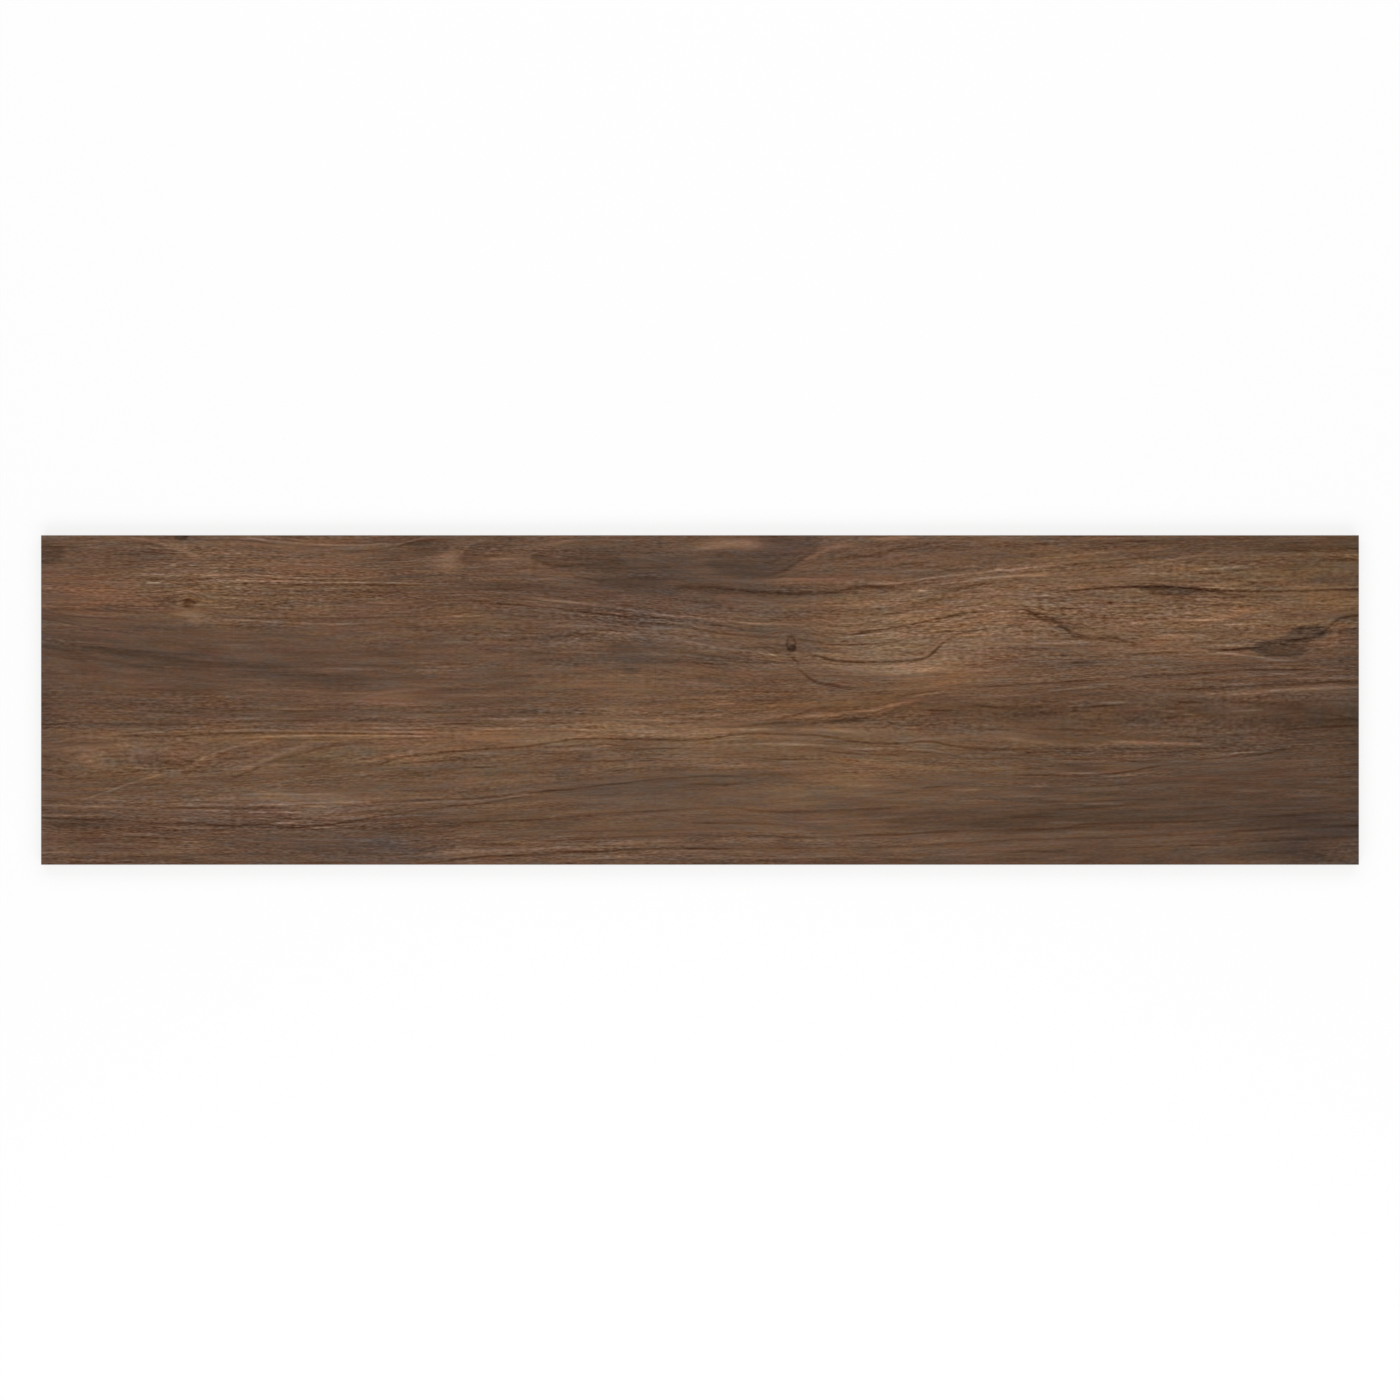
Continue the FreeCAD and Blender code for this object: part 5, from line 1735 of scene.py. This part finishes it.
    def map_bake(self) -> None:
        """Unfolds the plank on one sheet: most of it for the face, then the back, then the edges."""
        margin = 0.004
        face_rows = (0.32, 1.0 - margin)
        back_rows = (0.07, 0.30)
        strip_rows = ((0.004, 0.020), (0.026, 0.042), (0.048, 0.064))
        mesh = self.plank.data
        _, _, points = self.places()
        corners = points[self.corner_points()]
        share = corners / self.size + np.array((0.5, 0.5, 0.0))
        sheet = np.empty((len(corners), 2))
        sheet[:, 0] = margin + share[:, 0] * (1.0 - 2 * margin)
        for polygon in mesh.polygons:
            rows, height, wide = face_rows, 1, None
            normal = polygon.normal
            if normal.z < -FACE_TILT:
                rows = back_rows
            elif normal.z < FACE_TILT and abs(normal.y) > abs(normal.x):
                rows, height = strip_rows[0 if normal.y < 0 else 1], 2
            elif normal.z < FACE_TILT:
                rows, height, wide = strip_rows[2], 2, 0.0 if normal.x < 0 else 0.5
            loops = slice(polygon.loop_start, polygon.loop_start + polygon.loop_total)
            sheet[loops, 1] = rows[0] + share[loops, height] * (rows[1] - rows[0])
            if wide is not None:
                sheet[loops, 0] = wide + margin + share[loops, 1] * (0.5 - 2 * margin)
        bake = mesh.uv_layers.new(name=BAKE_MAP)
        bake.data.foreach_set("uv", sheet.ravel())
        mesh.uv_layers.active = mesh.uv_layers[GRAIN_MAP]
        mesh.uv_layers[GRAIN_MAP].active_render = True

    def press_relief(self) -> None:
        """Presses the grain and the figure's dark lines a little way into the face."""
        flat_rim, rising_rim = 0.8, 2.0
        darkest = 24.0
        along, down, points = self.places()
        inner = np.minimum.reduce([along, PLANK_LENGTH - along, down, PLANK_WIDTH - down])
        on_face = points[:, 2] > self.size[2] - 0.5 * self.face_arris
        on_face = on_face * smooth_step((inner - flat_rim) / rising_rim)
        level = self.figure.fibre_level(along, self.figure.traced(down))
        rows = 0.5 + 0.25 * Wander(21, 1.7)(level) + 0.25 * Wander(22, 4.1)(level + 0.01 * along)
        lines = np.zeros_like(down)
        for name in LINE_LAYERS:
            layer = np.empty(len(points) * 3)
            self.plank.data.attributes[name].data.foreach_get("vector", layer)
            offset, tone, _ = layer.reshape(-1, 3).T
            lines += np.exp(-((0.6 * offset) ** 2)) * np.clip(-tone / darkest, 0.0, 1.0)
        for name, weights, depth in (("grain_rows", rows, 0.4), ("figure_lines", lines, 0.6)):
            self.press(name, np.clip(weights, 0.0, 1.0) * on_face, depth * self.relief_depth)

    def press(self, name: str, weights: np.ndarray, depth: float) -> None:
        """Sinks points of the plank by their weights.

        Args:
            name: Name of the group of points.
            weights: How much of the depth each point sinks.
            depth: The full depth, in metres.
        """
        least = 0.001
        plank = self.plank
        group = plank.vertex_groups.new(name=name)
        for index in np.flatnonzero(weights > least):
            group.add([int(index)], float(weights[index]), "REPLACE")
        select_only(plank)
        modifier = plank.modifiers.new(name, "DISPLACE")
        modifier.direction = "Z"
        modifier.vertex_group = name
        modifier.mid_level = 0.0
        modifier.strength = -depth
        bpy.ops.object.modifier_apply(modifier=name)
        plank.vertex_groups.remove(plank.vertex_groups[name])

    def dress(self) -> None:
        """Puts the print on the face and the bare body on the rest."""
        mesh = self.plank.data
        mesh.materials.clear()
        mesh.materials.append(WalnutPrint(self.figure.knots).material())
        mesh.materials.append(FiredBody().material())
        for polygon in mesh.polygons:
            finish = Finish.PRINT if polygon.normal.z > FACE_TILT else Finish.BODY
            polygon.material_index = finish.value
        select_only(self.plank)
        bpy.ops.object.shade_smooth_by_angle(angle=math.radians(self.crease))


@dataclass
class Studio:
    """White floor, soft light from both long sides and a camera that looks straight down.

    Attributes:
        frame_pixels: Width of the whole picture.
        plank_pixels: Length of the plank in it.
        lens: The camera's focal length, in millimetres.
        sight: How far the camera sees, in metres.
        floor_side: Side of the floor, in metres.
        floor_grey: How much light the floor throws back at the plank.
        seen_grey: How much it throws back where the picture shows it, which keeps the shadow.
        seen_glow: How much it glows there, so that it shows as white.
        sky: Strength of the light from all round.
        box_power: Power of each soft box, in watts.
        box_size: Length and width of a soft box, in metres.
        box_reach: How far out and how high a soft box hangs, in metres.
    """

    frame_pixels: float = 1400.0
    plank_pixels: float = 1318.0
    lens: float = 100.0
    sight: float = 100.0
    floor_side: float = 12.0
    floor_grey: float = 0.8
    seen_grey: float = 0.3
    seen_glow: float = 0.73
    sky: float = 0.40
    box_power: tuple[float, float] = (13.2, 10.4)
    box_size: tuple[float, float] = (2.6, 0.8)
    box_reach: float = 1.1

    def build(self) -> None:
        """Sets up the studio."""
        self.lay_floor()
        self.hang_lights()
        self.light_sky()
        self.set_camera()
        bpy.context.scene.view_settings.view_transform = "Standard"

    def seen_share(self, tree: bpy.types.NodeTree) -> Socket:
        """Tells the rays that show the background from those that light the plank.

        Args:
            tree: The node tree to add to.

        Returns:
            1 for camera, glossy and transmission rays, 0 for the others.
        """
        path = tree.nodes.new("ShaderNodeLightPath")
        share = path.outputs["Is Camera Ray"]
        for name in ("Is Glossy Ray", "Is Transmission Ray"):
            larger = tree.nodes.new("ShaderNodeMath")
            larger.operation = "MAXIMUM"
            tree.links.new(share, larger.inputs[0])
            tree.links.new(path.outputs[name], larger.inputs[1])
            share = larger.outputs[0]
        return share

    def lay_floor(self) -> None:
        """Lays a white floor that keeps the plank's shadow."""
        bpy.ops.object.select_all(action="DESELECT")
        bpy.ops.mesh.primitive_plane_add(size=self.floor_side, location=(0.0, 0.0, 0.0))
        floor = bpy.context.object
        floor.name = "studio_floor"
        sheet = NodeSheet("studio_floor")
        paint = sheet.add("BsdfDiffuse")
        paint.inputs["Color"].default_value = (*(self.floor_grey,) * 3, 1.0)
        pale = sheet.add("BsdfDiffuse")
        pale.inputs["Color"].default_value = (*(self.seen_grey,) * 3, 1.0)
        glow = sheet.add("Emission")
        glow.inputs["Strength"].default_value = self.seen_glow
        white = sheet.add("AddShader")
        sheet.feed(white.inputs[0], pale.outputs[0])
        sheet.feed(white.inputs[1], glow.outputs[0])
        mix = sheet.add("MixShader")
        sheet.feed(mix.inputs[0], self.seen_share(sheet.tree))
        sheet.feed(mix.inputs[1], paint.outputs[0])
        sheet.feed(mix.inputs[2], white.outputs[0])
        floor.data.materials.append(sheet.finish(mix.outputs[0]))

    def hang_lights(self) -> None:
        """Hangs a long soft box over each long side of the plank."""
        reach = self.box_reach
        for side, power in zip((-1.0, 1.0), self.box_power):
            bpy.ops.object.light_add(type="AREA", location=(0.0, side * reach, reach))
            box = bpy.context.object
            box.name = "soft_box_front" if side < 0 else "soft_box_back"
            box.rotation_euler = (side * -math.pi / 4, 0.0, 0.0)
            box.data.shape = "RECTANGLE"
            box.data.size, box.data.size_y = self.box_size
            box.data.energy = power
            box.visible_camera = False

    def light_sky(self) -> None:
        """Makes a dim even sky that shows as white."""
        world = bpy.data.worlds.new("studio_sky")
        world.use_nodes = True
        bpy.context.scene.world = world
        tree = world.node_tree
        tree.nodes.clear()
        strength = tree.nodes.new("ShaderNodeMapRange")
        tree.links.new(self.seen_share(tree), strength.inputs["Value"])
        strength.inputs["To Min"].default_value = self.sky
        strength.inputs["To Max"].default_value = 1.0
        background = tree.nodes.new("ShaderNodeBackground")
        background.inputs["Color"].default_value = (1.0, 1.0, 1.0, 1.0)
        tree.links.new(strength.outputs[0], background.inputs["Strength"])
        output = tree.nodes.new("ShaderNodeOutputWorld")
        tree.links.new(background.outputs[0], output.inputs["Surface"])

    def set_camera(self) -> None:
        """Hangs the camera so high that the plank fills its share of the picture."""
        low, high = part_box(NODE)
        data = bpy.data.cameras.new("camera")
        data.lens = self.lens
        view_width = (high.x - low.x) * self.frame_pixels / self.plank_pixels
        distance = view_width * self.lens / data.sensor_width
        camera = bpy.data.objects.new("camera", data)
        bpy.context.scene.collection.objects.link(camera)
        camera.location = (0.0, 0.0, high.z + distance)
        data.clip_end = self.sight
        bpy.context.scene.camera = camera


def main() -> None:
    """Builds the plank and the studio round it."""
    logging.basicConfig(level=logging.INFO, format="%(name)s: %(message)s")
    plank = PlankTile(WoodFigure(LINES, PATCHES, KNOTS, SHAPES)).build()
    plank.data.calc_loop_triangles()
    log.info("%s: %d triangles", plank.name, len(plank.data.loop_triangles))
    Studio().build()
    log.info("studio: camera at %.3f m", bpy.context.scene.camera.location.z)


if __name__ == "__main__":
    main()
